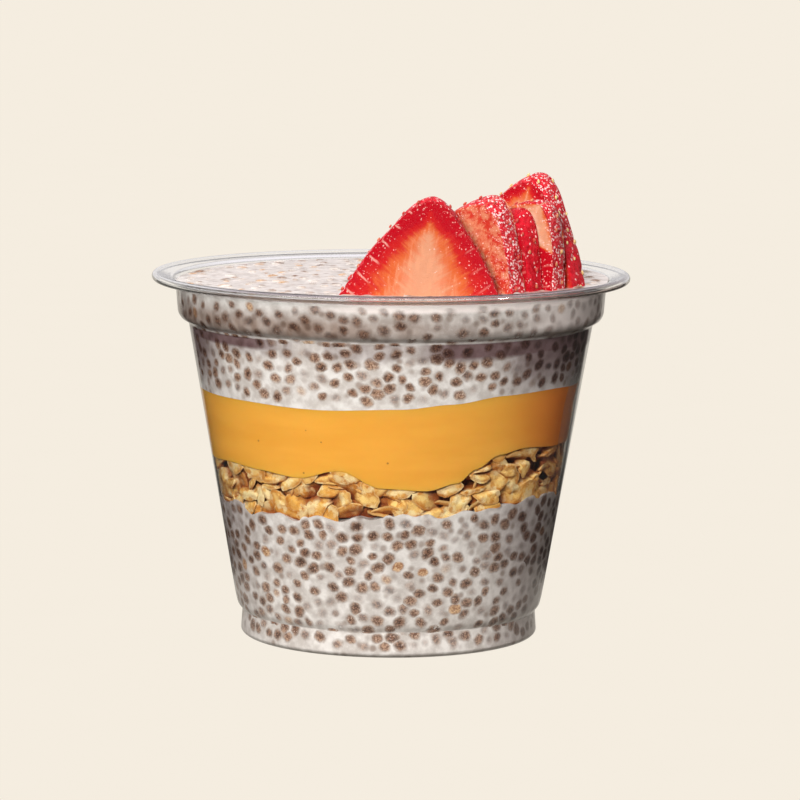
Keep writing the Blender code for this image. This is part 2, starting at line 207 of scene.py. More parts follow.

# The slices: the place of the tip, the turn and lean in degrees, and the cuts as distances from the form's
# middle plane. Then the looks: how ripe the flesh is and how much more so below the tip, how evenly
# mottled, how much it is painted with glints as painted highlights and how much that fades downwards,
# and how yellow the achenes are.
PLAIN_SLICE = {"width": 1.0, "ripe": 0.0, "deep": 0.0, "even": 0.0, "fades": 0.0, "achenes": 0.0}
SLICES = (
    {**PLAIN_SLICE, "tip": (7.9, -25.8, 86.9), "turn": -4, "lean": 5, "cuts": (-2.8, 2.0), "painted_glints": 0.3},
    {**PLAIN_SLICE, "tip": (20.3, -18.4, 86.4), "turn": -30, "lean": 20, "cuts": (-4.4, 0.2),
     "ripe": -0.05, "even": 1.0, "painted_glints": 1.0},
    {**PLAIN_SLICE, "tip": (25.5, -16.1, 83.8), "turn": -30, "lean": 24, "cuts": (-4.4, -0.2),
     "width": 0.95, "ripe": 0.45, "painted_glints": 0.15},
    {**PLAIN_SLICE, "tip": (29.8, -14.7, 85.1), "turn": -30, "lean": 29, "cuts": (-3.0, 1.6),
     "ripe": -1.15, "deep": 1.5, "painted_glints": 0.9, "achenes": 0.3},
    {**PLAIN_SLICE, "tip": (28.9, -4.9, 89.85), "turn": -30, "lean": 11, "cuts": (-4.2, 0.2),
     "width": 0.97, "ripe": -0.25, "painted_glints": 0.75, "fades": 0.8, "achenes": 0.8},
)
SLICE_ROWS = 64
SLICE_ROW_POWER = 1.4
SLICE_FACE_COLUMNS = 60
SLICE_SKIN_COLUMNS = 14
SLICE_DEPTHS = (1.0, 30.5)
SLICE_FIT_ROUNDS = 12
CORNER_SKIN = 0.5

# The slices' relief: the skin is drawn in by its fine and broad bumps, and dented at each achene.
SKIN_FINE, SKIN_FINE_LENGTH = 0.06, 1.6
SKIN_BROAD, SKIN_BROAD_LENGTH = 0.35, 6.0
SKIN_INSET = 0.3
DENT_DEPTH, DENT_SPREAD = 0.42, 0.55
DENTS_BEYOND_CUTS = 0.8
FACE_RELIEF, FACE_RELIEF_LENGTH = 0.12, 1.9

# Achenes: half sizes along, across and out, how they vary, and the rings on which they sit.
ACHENE_HALF = (0.26, 0.42, 0.22)
ACHENE_SIZES = (0.85, 1.15)
ACHENE_TURN, ACHENE_TONES = 0.2, 0.15
ACHENE_DEPTHS = (1.3, 26.0)
ACHENE_RING_STEP = 2.5
ACHENE_SPACING = 3.3
ACHENE_FROM_CUTS = 0.2
ACHENE_SUNK = 0.12
ACHENE_TIPPED = 0.45
ACHENE_COLUMNS, ACHENE_RINGS = 10, 6

# The widest angle that is shaded smooth, the distance in metres within which points are one, and the
# least length that is divided by.
SHARP_ANGLE = math.radians(55)
SAME_POINT = 1e-7
LEAST_LENGTH = 1e-6

# How a piece's values are stored, by how many numbers there are for each point.
VALUE_KINDS = {1: ("FLOAT", "value"), 3: ("FLOAT_VECTOR", "vector"), 4: ("FLOAT_COLOR", "color")}

# Colours, as linear red, green and blue.
CLEAR = {
    "wall": (0.97, 0.975, 0.975), "painted shade under curl": (0.62, 0.54, 0.51), "painted shade over curl": (0.3, 0.25, 0.26),
    "let through": (0.96, 0.965, 0.965),
}
GEL = {
    "dark": (0.52, 0.465, 0.42), "light": (0.78, 0.73, 0.68), "wisp": (0.87, 0.83, 0.79),
    "deep seed": (0.24, 0.165, 0.125), "top": (0.9, 0.86, 0.86), "halo": (0.36, 0.32, 0.3),
}
# Food seen behind the cup: painted light under the rim, a lighter veil on the upper side, the collar's brown,
# painted shade below the ledge, painted shade low at the sides, and painted shade on seeds at the right.
BEHIND_CUP = {
    "lit": (0.97, 0.85, 0.79), "veil": (0.9, 0.87, 0.84), "collar": (0.37, 0.28, 0.235),
    "shade": (0.22, 0.145, 0.155), "foot": (0.5, 0.45, 0.46), "shaded seed": (0.3, 0.22, 0.27),
}
SEED_LIGHT = ((0.22, 0.1, 0.055), (0.42, 0.25, 0.16), (0.46, 0.35, 0.27))
SEED_DARK = ((0.045, 0.016, 0.009), (0.15, 0.07, 0.042), (0.3, 0.215, 0.165))
SEED_TAN = ((0.3, 0.13, 0.055), (0.66, 0.42, 0.23))
SEED_PAINTED_GLINT = (0.8, 0.74, 0.7)
# Nut butter: its tones, specks and grain, and the painted shade towards its right.
BUTTER = {
    "dark": (0.82, 0.375, 0.046), "light": (0.865, 0.41, 0.056), "speck": (0.22, 0.07, 0.015),
    "grain": (0.55, 0.2, 0.03), "right": (0.92, 0.52, 0.5),
}
# Oats: tones, toasted patches, edges, floury patches, fibres, painted highlights on the rims, painted shade
# in the gaps, on undersides and at the right, and the core's painted shade.
OAT = {
    "dark": (0.84, 0.42, 0.075), "light": (1.0, 0.69, 0.23), "toasted": (0.74, 0.3, 0.035),
    "edge": (0.58, 0.2, 0.022), "flour and painted highlight": (1.0, 0.86, 0.48), "rim": (1.0, 0.76, 0.34),
    "fibre": (1.0, 0.83, 0.46), "sunk": (0.3, 0.065, 0.012), "underside": (0.6, 0.3, 0.14),
    "right": (0.85, 0.6, 0.42), "shaded core dark": (0.2, 0.04, 0.01), "shaded core light": (0.42, 0.12, 0.026),
}
FLESH = {
    "core": (0.78, 0.46, 0.34), "inner": (0.62, 0.27, 0.15), "orange": (0.6, 0.11, 0.028),
    "red": (0.5, 0.012, 0.012), "crimson": (0.43, 0.003, 0.01), "streak": (0.8, 0.4, 0.33),
    "fibre": (0.7, 0.31, 0.17), "ray": (0.68, 0.22, 0.12), "painted glint": (0.96, 0.62, 0.56),
}
MOTTLED_FLESH = ((0.56, 0.04, 0.02), (0.68, 0.25, 0.13))
SKIN = {
    "dark": (0.48, 0.001, 0.01), "light": (0.72, 0.01, 0.026), "painted wet sheen": (0.85, 0.12, 0.12),
    "painted sparkle fleck": (1.0, 0.78, 0.75),
}
ACHENE = {"red": (0.5, 0.05, 0.04), "yellow": (0.72, 0.6, 0.24), "grain": (0.35, 0.12, 0.03)}
FLOOR = {"dark": (0.909, 0.843, 0.741), "light": (0.915, 0.85, 0.748)}

# What dull surfaces get from the room, and what shiny ones mirror of it.
FILL = (0.07, 0.04, 0.031)
ROOM_FRONT = (0.28, 0.26, 0.27)
ROOM_BACK = (0.87, 0.84, 0.85)
ROOM_RIGHT = (0.4, 0.36, 0.35)
ROOM_ABOVE = (1.05, 0.99, 1.05)

# The floor and its glow: as seen, as the light that it throws up beside the foot, and as mirrored
# in front of the cup, near its foot, behind it and everywhere else.
FLOOR_CORNERS = ((-9.0, -9.0, 0.0), (9.0, -9.0, 0.0), (9.0, 9.0, 0.0), (-9.0, 9.0, 0.0))
FLOOR_GLOW = 1.0
FLOOR_BOUNCE = 0.25
MIRRORED_FLOOR = 0.12
MIRRORED_NEAR = 0.55
MIRRORED_BEHIND = 0.6
MIRRORED_ELSEWHERE = 0.05

# The lights, all turned to one place: where each is, its size and its power, and whether it's there for
# shiny surfaces to mirror or for dull ones to be lit by.
LIT_PLACE = (0.0, 0.0, 0.04)
LIGHTS = {
    "key": ((-0.21, -0.86, 0.42), (0.3, 0.3), 12.2, "dull"),
    "strip": ((-0.1, -0.7, 0.75), (1.8, 0.22), 5.0, "shiny"),
    "top": ((-0.15, 0.10, 0.8), (0.4, 0.4), 3.1, "dull"),
    "back": ((-0.25, 0.8, 0.4), (0.4, 0.4), 4.5, "dull"),
    "left": ((-0.75, -0.25, 0.25), (0.3, 0.5), 0.9, "dull"),
    "right": ((0.6, -0.15, 0.5), (0.3, 0.3), 0.9, "dull"),
    "spark": ((0.62, -0.45, 0.3), (0.06, 0.3), 2.5, "shiny"),
}

rng = np.random.default_rng(78)


class Shader:
    """The node tree of a material or of the world."""

    def __init__(self, name, owner=None):
        self.material = owner or bpy.data.materials.new(name)
        self.material.use_nodes = True
        self.tree = self.material.node_tree
        self.surface = self.tree.nodes.get("Principled BSDF")

    def node(self, kind, inputs, **settings):
        made = self.tree.nodes.new("ShaderNode" + kind)
        for key, value in settings.items():
            setattr(made, key, value)
        for key, value in inputs.items():
            self.plug(made, key, value)
        return made

    def plug(self, node, key, value):
        if isinstance(value, Value):
            self.tree.links.new(value.socket, node.inputs[key])
        else:
            node.inputs[key].default_value = value

    def set(self, **inputs):
        for key, value in inputs.items():
            self.plug(self.surface, key.replace("_", " "), value)

    def outputs(self, kind, keys, inputs=(), **settings):
        """Adds a node and gives the outputs that the keys name."""
        made = self.node(kind, dict(inputs), **settings)
        return [Value(self, made.outputs[key]) for key in keys]

    def output(self, kind, key, inputs=(), **settings):
        return self.outputs(kind, [key], inputs, **settings)[0]

    def place(self):
        return self.output("TexCoord", "Object")

    def rays(self, *kinds):
        return self.outputs("LightPath", kinds)

    def attribute(self, name, output="Fac"):
        return self.output("Attribute", output, attribute_name=name)


class Value:
    """A node's output, used in the manner of a number or a vector: each step with it adds a node."""

    def __init__(self, shader, socket):
        self.shader, self.socket = shader, socket

    def math(self, operation, other=0.0):
        return self.shader.output("Math", 0, {0: self, 1: other}, operation=operation)

    __add__ = partialmethod(math, "ADD")
    __mul__ = partialmethod(math, "MULTIPLY")
    __sub__ = partialmethod(math, "SUBTRACT")
    most = partialmethod(math, "MAXIMUM")

    def __rsub__(self, other):
        return self.shader.output("Math", 0, {0: other, 1: self}, operation="SUBTRACT")

    def vector(self, operation, other=(0.0, 0.0, 0.0), output="Vector"):
        return self.shader.output("VectorMath", output, {0: self, 1: other}, operation=operation)

    def split(self):
        return self.shader.outputs("SeparateXYZ", range(3), {0: self})

    def step(self, low, high, end=1.0, start=0.0):
        """Goes smoothly from start to end as the value goes from low to high."""
        inputs = {"Value": self, "From Min": low, "From Max": high, "To Min": start, "To Max": end}
        return self.shader.output("MapRange", 0, inputs, interpolation_type="SMOOTHSTEP")

    def between(self, comes, full, ends, gone, most=1.0):
        """Rises smoothly to the most as the value goes from comes to full, and falls from ends to gone."""
        return self.step(comes, full, most) * self.step(gone, ends)

    def noise(self, scale, detail=2.0, rough=0.5, output="Fac"):
        inputs = {"Vector": self, "Scale": scale, "Detail": detail, "Roughness": rough}
        return self.shader.output("TexNoise", output, inputs)

    def cells(self, scale, jitter=1.0):
        """The distance to the nearest of strewn spots, and three random numbers that belong to it."""
        inputs = {"Vector": self, "Scale": scale, "Randomness": jitter}
        distance, numbers = self.shader.outputs("TexVoronoi", ("Distance", "Color"), inputs)
        return distance, numbers.split()

    def bump(self, strength, distance):
        inputs = {"Height": self, "Strength": strength, "Distance": distance}
        return self.shader.output("Bump", 0, inputs)


def join(x, y, z=0.0):
    return x.shader.output("CombineXYZ", 0, {0: x, 1: y, 2: z})


def length(x, y):
    return join(x, y).vector("LENGTH", output="Value")


def colour(value):
    """Gives a plain colour its fourth number and leaves a node's output as it is."""
    return value if isinstance(value, Value) else (*value, 1.0)


def mix(share, first, second, blend="MIX"):
    """A colour between two, or the second laid over the first in another blend mode."""
    inputs = {0: share, 6: colour(first), 7: colour(second)}
    return share.shader.output("Mix", 2, inputs, data_type="RGBA", blend_type=blend)


def laid(base, *coats):
    """Colours laid over a base one after the other, each given as its share, colour and blend mode."""
    for share, *coat in coats:
        base = mix(share, base, *coat)
    return base


def either(share, first, second):
    """A number between two."""
    return share.shader.output("Mix", 0, {0: share, 2: first, 3: second})


def add_object(name, data):
    made = bpy.data.objects.new(name, data)
    bpy.context.scene.collection.objects.link(made)
    return made


def make_piece(name, points, faces, material, slot, replaces=(), values=None):
    """A smooth mesh piece that rides on the body, from points in mm and named values for each of them."""
    mesh = bpy.data.meshes.new(name)
    mesh.from_pydata((points * MM).tolist(), [], faces)
    for key, value in (values or {}).items():
        kind, field = VALUE_KINDS[value.size // len(points)]
        mesh.attributes.new(key, kind, "POINT").data.foreach_set(field, value.astype(np.float32).ravel())
    edit = bmesh.new()
    edit.from_mesh(mesh)
    bmesh.ops.remove_doubles(edit, verts=edit.verts[:], dist=SAME_POINT)
    bmesh.ops.recalc_face_normals(edit, faces=edit.faces[:])
    edit.to_mesh(mesh)
    edit.free()
    mesh.shade_smooth()
    mesh.set_sharp_from_angle(angle=SHARP_ANGLE)
    mesh.materials.append(material)
    piece = add_object(name, mesh)
    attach(piece, "root")
    if replaces:
        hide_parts(*replaces)


def closed_by_points(rows, columns):
    """Faces of a closed body: a first point, rings, and a last point."""
    last = 1 + rows * columns
    sides = [(column, (column + 1) % columns) for column in range(columns)]
    faces = [
        (a + here, a + after, a + columns + after, a + columns + here)
        for a in range(1, last - columns, columns) for here, after in sides
    ]
    for here, after in sides:
        faces += [(0, 1 + after, 1 + here), (last, last - columns + here, last - columns + after)]
    return faces


def full_turn(columns):
    """Angles spread evenly round the axis."""
    return np.arange(columns) * 2 * np.pi / columns


def polar(radii, angles, heights=0.0):
    """Points from their radii, angles and heights."""
    return np.stack(np.broadcast_arrays(radii * np.cos(angles), radii * np.sin(angles), heights), -1)


def unit(vectors):
    return vectors / np.maximum(np.linalg.norm(vectors, axis=1), LEAST_LENGTH)[:, None]


def smooth(share):
    share = np.clip(share, 0, 1)
    return share * share * (3 - 2 * share)


def ripple(points, length, seed):
    """Smooth noise at points in mm, from -1 to 1, with bumps of a given length."""
    offset = Vector((seed * 13.7, seed * 5.1, seed * 9.3))
    return np.array([noise.noise(Vector(p) / length + offset) for p in points])


def rounded(path):
    """A path of (radius, height, rounding) with each corner turned into a short curve."""
    points = [np.array(p[:2], float) for p in path]
    made = [points[0]]
    for index in range(1, len(path) - 1):
        corner = points[index]
        sides = [points[index - 1] - corner, points[index + 1] - corner]
        lengths = [np.linalg.norm(side) for side in sides]
        cut = min(path[index][2], FILLET_SHARE * min(lengths))
        start, end = (corner + side / length * cut for side, length in zip(sides, lengths))
        for share in np.linspace(0, 1, FILLET_STEPS):
            made.append((1 - share) ** 2 * start + 2 * share * (1 - share) * corner + share**2 * end)
    made.append(points[-1])
    return np.array(made)


def moved_in(path, distance):
    """A (radius, height) path moved towards the inside of the cup."""
    before = path - np.vstack([path[:1], path[:-1]])
    after = np.vstack([path[1:], path[-1:]]) - path
    before[0] = after[0]
    after[-1] = before[-1]
    normals = [np.stack([-d[:, 1], d[:, 0]], 1) for d in (unit(before), unit(after))]
    lean = 1 + (normals[0] * normals[1]).sum(1)
    moved = path + (normals[0] + normals[1]) * (distance / lean)[:, None]
    moved[0, 0] = 0.0
    return moved


def side_with_corners(distance):
    """The cup's side, moved in by a distance while its corners keep their rounding."""
    moved = moved_in(np.array([corner[:2] for corner in CUP_SIDE]), distance)
    return [(r, z, corner[2]) for (r, z), corner in zip(moved, CUP_SIDE)]


FOOD_SIDE = rounded([*side_with_corners(WALL - SINK_IN_WALL), FOOD_SIDE_END])
RISING = FOOD_SIDE[np.argmin(FOOD_SIDE[:, 1]):]


def pocket_depth(azimuths, heights):
    """How far the food stands back from the wall, in mm."""
    degrees = (np.degrees(azimuths) + 180) % 360 - 180
    comes, goes = (smooth((degrees - start) / (end - start)) for start, end in (POCKET_COMES, POCKET_GOES))
    levels = np.array(POCKET)
    return np.interp(heights, levels[:, 0], levels[:, 1]) * comes * (1 - goes)


def side_radius(azimuths, heights):
    """The radius of the food's side."""
    return np.interp(heights, RISING[:, 1], RISING[:, 0]) - pocket_depth(azimuths, heights)


def side_beside(points):
    """The radius of the food's side beside each of some points."""
    return side_radius(np.arctan2(points[:, 1], points[:, 0]), points[:, 2])


def wave(levels, azimuths):
    """A smooth height between a ring of (azimuth, height) pairs."""
    starts, heights = np.array(sorted((azimuth % 360, height) for azimuth, height in levels)).T
    starts, heights = np.append(starts, starts[0] + 360), np.append(heights, heights[0])
    degrees = np.degrees(azimuths) % 360
    degrees = np.where(degrees < starts[0], degrees + 360, degrees)
    index = np.minimum(np.searchsorted(starts, degrees, "right") - 1, len(levels) - 1)
    share = (degrees - starts[index]) / (starts[index + 1] - starts[index])
    return heights[index] + (0.5 - 0.5 * np.cos(np.pi * share)) * (heights[index + 1] - heights[index])


oats_floor = partial(wave, OATS_FLOOR)
butter_floor = partial(wave, BUTTER_FLOOR)
butter_ceiling = partial(wave, BUTTER_CEILING)


def surface(azimuths):
    """The height of the top surface's edge."""
    return SURFACE_Z + SURFACE_TILT * np.cos(azimuths) + SURFACE_SWELL * np.sin(3 * azimuths + SURFACE_PHASE)


def gel_edge(azimuths):
    """The top of the lower pudding, which has crept up unevenly between the flakes."""
    ragged = ripple(polar(1.0, azimuths) * GEL_EDGE_RADIUS, GEL_BUMP, 7)
    return oats_floor(azimuths) + GEL_CREEP + GEL_RAGGED * ragged


def shifted(height, distance):
    """A height function moved up by a distance."""
    return lambda azimuths: height(azimuths) + distance


def at_right(height):
    """What a height function gives on the right, at azimuth 0."""
    return height(np.zeros(1))[0]


def glass_material():
    """Clear plastic with streaks in the collar, and with painted shade: dark brownish lines under and over
    the rim's curl.
    """
    shader = Shader("clear_cup")
    place = shader.place()
    x, y, z = place.split()
    drawn = join(x, y, z * 0.12).noise(260.0)
    collar = z.between(0.0615, 0.0632, 0.067, 0.0684)
    wall = z.step(0.0684, 0.067, 0.05)
    height = drawn * (collar * 0.5 + wall) + place.noise(55.0, 1.0) * 0.25
    right = x.step(0.016, 0.03) * y.step(0.004, -0.012)
    curl = length(x, y).step(0.0431, 0.0438) * y.step(-0.025, -0.04).most(right)
    # Painted shade: on the front and right of the rim's curl, dark lines stand in for the dark that the curl
    # refracts and mirrors.
    tint = laid(
        CLEAR["wall"],
        (curl * z.step(0.0694, 0.0690), CLEAR["painted shade under curl"]),
        (curl * z.step(0.0698, 0.0701), CLEAR["painted shade over curl"]),
    )
    shader.set(Base_Color=tint, Roughness=0.03, Transmission_Weight=1.0, IOR=1.52)
    shader.set(Normal=height.bump(0.35, 0.0006))
    shadow, diffuse = shader.rays("Is Shadow Ray", "Is Diffuse Ray")
    plastic = Value(shader, shader.surface.outputs[0])
    clear = shader.output("BsdfTransparent", 0, {0: colour(CLEAR["let through"])})
    mixed = shader.output("MixShader", 0, {0: shadow.most(diffuse), 1: plastic, 2: clear})
    shader.plug(shader.tree.nodes["Material Output"], "Surface", mixed)
    return shader.material


def curl_arc(radius, start, end):
    return np.array(CURL_CENTRE) + polar(radius, np.linspace(start, end, CURL_STEPS))[:, :2]


def cup():
    """The shell, whose section runs up its outer side, round the rim's curl and down its inner side."""
    inner_curl = curl_arc(CURL_RADIUS - CURL_SHEET, CURL_START, CURL_END)
    outer_curl = curl_arc(CURL_RADIUS, CURL_END, CURL_START)
    first = rounded([*CUP_SIDE, *FLANGE_UNDER, (*inner_curl[0], 0.0)])
    last = rounded([(*outer_curl[-1], 0.0), *FLANGE_TOP, *side_with_corners(WALL)[::-1]])
    section = np.vstack([first, inner_curl[1:], outer_curl, last[1:]])
    radii, heights = section[1:-1].T[:, :, None]
    points, faces = turned_body(radii, heights, section[0, 1], section[-1, 1], CUP_COLUMNS)
    make_piece("cup_shell", points, faces, glass_material(), "clear_plastic", ["cup"])


def turned_body(radii, heights, first, last, columns):
    """Points and faces of rings round the axis, closed by a first and a last point on it."""
    rings = polar(radii, full_turn(columns), heights).reshape(-1, 3)
    return np.vstack([[[0, 0, first]], rings, [[0, 0, last]]]), closed_by_points(len(radii), columns)


def face_rings(azimuths, edge, shares):
    """Rings of a layer's face that lies level in the middle and follows its wavy edge outwards."""
    middle = edge.mean()
    return [(share * side_radius(azimuths, edge), middle + share**2 * (edge - middle)) for share in shares]


def level_top(radii, azimuths):
    return np.zeros(len(radii))


def layer(floor, ceiling, bends=(), relief=level_top):
    """Points and faces of a layer between two heights, the lowest in the foot, with rows at the bends."""
    azimuths = full_turn(LAYER_COLUMNS)
    high = ceiling(azimuths)
    if floor:
        low = floor(azimuths)
        first = low.mean()
        rings = face_rings(azimuths, low, np.linspace(0, 1, FACE_RINGS // 2)[1:-1])
    else:
        low = np.full(LAYER_COLUMNS, WALL_ROWS_START)
        first = FOOD_SIDE[0, 1]
        foot = FOOD_SIDE[(FOOD_SIDE[:, 1] < FOOT_ROWS_END) & (FOOD_SIDE[:, 0] > 0)]
        rings = [np.broadcast_to(corner[:, None], (2, LAYER_COLUMNS)) for corner in foot]
    turns = [*bends, high]
    levels = [low + share * (turns[0] - low) for share in np.linspace(0, 1, LAYER_ROWS)]
    levels += [np.broadcast_to(turn, high.shape) for turn in turns[1:]]
    rings += [(side_radius(azimuths, level), level) for level in levels]
    for radius, height in face_rings(azimuths, high, np.linspace(1, 0, FACE_RINGS)[1:-1]):
        rings.append((radius, height + relief(radius, azimuths)))
    last = high.mean() + relief(np.zeros(1), azimuths[:1])[0]
    radii, heights = np.array(rings).transpose(1, 0, 2)
    return turned_body(radii, heights, first, last, LAYER_COLUMNS)


def milk_colour(place):
    """The milky gel: soft light and dark clouds with seeds deep inside that show as faint spots."""
    distance, (chance, _, _) = place.cells(420.0, 0.9)
    return laid(
        GEL["dark"],
        (place.noise(420.0, 3.0).step(0.3, 0.7), GEL["light"]),
        (place.noise(2600.0).step(0.55, 0.8, 0.25), GEL["wisp"]),
        (distance.step(0.42, 0.12) * chance.step(0.15, 0.8, 0.75), GEL["deep seed"]),
    )


def paint_collar_light(place, base, share):
    """Painted light: the food is painted brighter right below the rim and at the collar's right end."""
    x, _, z = place.split()
    strip = z.between(0.0662, 0.067, 0.0681, 0.0684) * x.step(-0.022, 0.0, 0.9)
    end = x.step(0.022, 0.032, 0.65) * z.step(0.0612, 0.062) * z.step(0.0684, 0.0681)
    return mix(strip.most(end) * share, base, BEHIND_CUP["lit"])


def collar_tint(place, base):
    """Behind the collar the food is browner, partly the watery gel's own colour and partly painted shade,
    eased towards the right end as painted light, and it is a little lighter over the upper pudding's side.
    Below the ledge painted shade makes it dark, most so at the sides, and painted shade darkens the lower
    pudding's sides.
    """
    x, y, z = place.split()
    tall = join(x, y, z * 0.3).noise(330.0)
    collar = z.between(0.0611, 0.062, 0.0637, 0.0675) * tall.step(0.3, 0.7, start=0.7)
    # Painted shade below the ledge: patchy in the middle, full at the sides.
    left = x.step(-0.016, -0.026) * z.step(0.0577, 0.0590)
    patchy = tall.step(0.3, 0.6, 0.5, start=0.1).most(x.step(0.0, 0.012).most(left))
    below = z.between(0.0563, 0.0582, 0.0604, 0.0609) * patchy
    # Painted shade at the sides, from the middle of the upper pudding down to the ledge.
    aside = x.step(0.016, 0.028).most(x.step(-0.03, -0.036))
    deep = z.between(0.046, 0.057, 0.06, 0.0607, 0.92) * aside
    # Painted shade low on the lower pudding's sides.
    low = x.step(0.015, 0.027).most(x.step(-0.022, -0.031)) * z.step(0.032, 0.028, 0.75)
    return laid(
        base,
        (z.between(0.045, 0.047, 0.061, 0.0615) * 0.3, BEHIND_CUP["veil"], "SOFT_LIGHT"),
        # The collar's brown, partly painted shade, eases towards the right end as painted light.
        (collar * x.step(-0.02, 0.034, 0.4, start=1.0), BEHIND_CUP["collar"], "MULTIPLY"),
        (below.most(deep), BEHIND_CUP["shade"], "MULTIPLY"),
        (low, BEHIND_CUP["foot"], "MULTIPLY"),
    )


def gel_material():
    shader = Shader("milky_gel")
    place = shader.place()
    z = place.split()[2]
    base = paint_collar_light(place, collar_tint(place, milk_colour(place)), 0.95)
    base = mix(z.step(0.0682, 0.0685), base, GEL["top"], "MULTIPLY")
    shader.set(Base_Color=base, Roughness=z.step(0.0672, 0.0684, 0.22, start=0.55), IOR=1.38)
    shader.set(Specular_IOR_Level=0.4, Subsurface_Weight=0.0)
    shader.set(Normal=place.noise(1500.0, 3.0).bump(0.12, 0.0003))
    return shader.material


def seed_body(specks, patches, blurred, reach, tone, pale):
    """A seed's own colour: mottled and paler outwards, some of them tan, with painted highlights as glints in
    the middle.
    """
    spotted = specks * 0.5 + patches * 0.5
    outward = blurred.step(0.2, 0.9)
    dark, light = (mix(outward, mix(tone, low, high), rim) for low, high, rim in (SEED_DARK, SEED_LIGHT))
    return laid(
        dark,
        (spotted.step(0.44, 0.57), light),
        (pale.step(0.965, 0.975), mix(spotted.step(0.4, 0.6), *SEED_TAN)),
        (specks.step(0.64, 0.7) * reach.step(0.6, 0.3) * 0.55, SEED_PAINTED_GLINT),
    )


def seed_material():
    """Dark mottled seeds that fade into the gel towards their edge, with painted shade on the right below the
    collar, and the collar's painted light and shade.
    """
    shader = Shader("chia_seed")
    place = shader.place()
    right, _, up = place.split()
    x, y, _ = shader.attribute("seed_local", "Vector").split()
    tone, softness, pale = shader.attribute("seed_kind", "Color").split()
    reach = length(x, y)
    blurred = reach + (place.noise(1100.0) - 0.5) * 0.5
    specks = place.noise(3300.0, 2.0, 0.6)
    body = seed_body(specks, place.noise(1500.0), blurred, reach, tone, pale)
    # Painted shade: seeds on the right below the collar are painted darker.
    shaded = right.step(0.018, 0.03, 0.7) * up.step(0.0611, 0.0605)
    body = mix(shaded, body, BEHIND_CUP["shaded seed"], "MULTIPLY")
    start = 0.56 - softness * 0.5
    seen = blurred.step(0.98, start) * reach.step(0.98, 0.8) * softness.step(0.35, 1.0, 0.4, start=0.97)
    halo = blurred.step(1.03, start) * (0.6 - softness * 0.4)
    base = laid(milk_colour(place), (halo, GEL["halo"]), (seen, body))
    base = paint_collar_light(place, collar_tint(place, base), 0.9 - seen * 0.5)
    shader.set(Base_Color=base, Roughness=0.5, Specular_IOR_Level=0.3)
    shader.set(Normal=specks.bump(0.15, 0.0002))
    return shader.material


def apart(first, second, width, stretch):
    """The distance of two places on a band, in which a step along it counts for less than one up it."""
    step = abs(first[0] - second[0])
    return math.hypot(min(step, width - step) / stretch, (first[1] - second[1]) * stretch)


def spread_out(count, radius, floor, ceiling, spacing, stretch):
    """Azimuths and heights scattered over a band round the wall so that they keep a distance."""
    width = 2 * np.pi * radius
    tries = rng.random((count, 2)) * [width, 1.0]
    bottom, top = floor(tries[:, 0] / radius), ceiling(tries[:, 0] / radius)
    tries[:, 1] = bottom + tries[:, 1] * (top - bottom)
    cells = {}
    places = []
    columns = int(width / (spacing * stretch))
    for place in tries:
        column, row = int(place[0] / width * columns), int(place[1] / spacing)
        near = [
            other for right in (-1, 0, 1) for over in (-1, 0, 1)
            for other in cells.get(((column + right) % columns, row + over), ())
        ]
        if all(apart(place, other, width, stretch) > spacing for other in near):
            cells.setdefault((column, row), []).append(place)
            places.append(place)
    places = np.array(places)
    return places[:, 0] / radius, places[:, 1]


def ball(columns, rings):
    """Points and faces of a unit ball, with its poles on the third axis."""
    tilt = np.linspace(0, np.pi, rings + 1)[1:-1, None]
    return turned_body(np.sin(tilt), np.cos(tilt), 1.0, -1.0, columns)


def plug():
    """Points and faces of a seed pressed flat: a flat oval top and a rounded underside."""
    dips = np.linspace(0, math.pi / 2, SEED_RINGS)[1:-1]
    rings = [(share, 0.0) for share in SEED_TOP_SHARES] + [(math.cos(dip), -math.sin(dip)) for dip in dips]
    radii, heights = np.array(rings).T[:, :, None]
    return turned_body(radii, heights, 0.0, -1.0, SEED_COLUMNS)


def repeated(faces, step, count):
    """The faces of many copies, when each copy has as many points as the step."""
    return [tuple(i + n * step for i in face) for n in range(count) for face in faces]


def turned(normals, spins):
    """Axes whose third row is the normal and whose first two are turned round it."""
    normals = unit(normals)
    up = np.where(np.abs(normals[:, 2:]) < 0.9, [[0, 0, 1.0]], [[0, 1.0, 0]])
    across = unit(np.cross(up, normals))
    over = np.cross(normals, across)
    cos, sin = np.cos(spins)[:, None], np.sin(spins)[:, None]
    return np.stack([across * cos + over * sin, over * cos - across * sin, normals], 1)


def copies(shape, faces, centres, normals, half, sizes, spins):
    """Points and faces of a shape copied to each centre, in a random size and turned at random."""
    count = len(centres)
    sizes = np.array(half) * rng.uniform(*sizes, (count, 1))
    axes = turned(normals, spins(count))
    points = np.einsum("nsk,nkj->nsj", shape[None] * sizes[:, None, :], axes) + centres[:, None, :]
    return points.reshape(-1, 3), repeated(faces, len(shape), count)


def hold_in(points, limit):
    """Pulls points towards the axis where they lie beyond a limit of their radius."""
    radius = np.hypot(points[:, 0], points[:, 1])
    points[:, :2] *= np.minimum(1.0, limit / radius)[:, None]


def seed_kinds(count, soft_share):
    """The tone, softness and paleness of seeds, of which a share is soft."""
    kinds = rng.random((count, 3))
    soft = rng.random(count) < soft_share
    kinds[:, 1] = np.where(soft, 0.4 + 0.6 * kinds[:, 1], 0.35 * kinds[:, 1])
    return kinds


def make_seeds(name, shape, points, faces, kinds, material):
    """Seeds as one piece, whose points know their place in the seed and the seed's kind."""
    values = {
        "seed_local": np.tile(shape, (len(kinds), 1)),
        "seed_kind": np.repeat(np.column_stack([kinds, np.ones(len(kinds))]), len(shape), 0),
    }
    make_piece(name, points, faces, material, "chia_pudding", values=values)


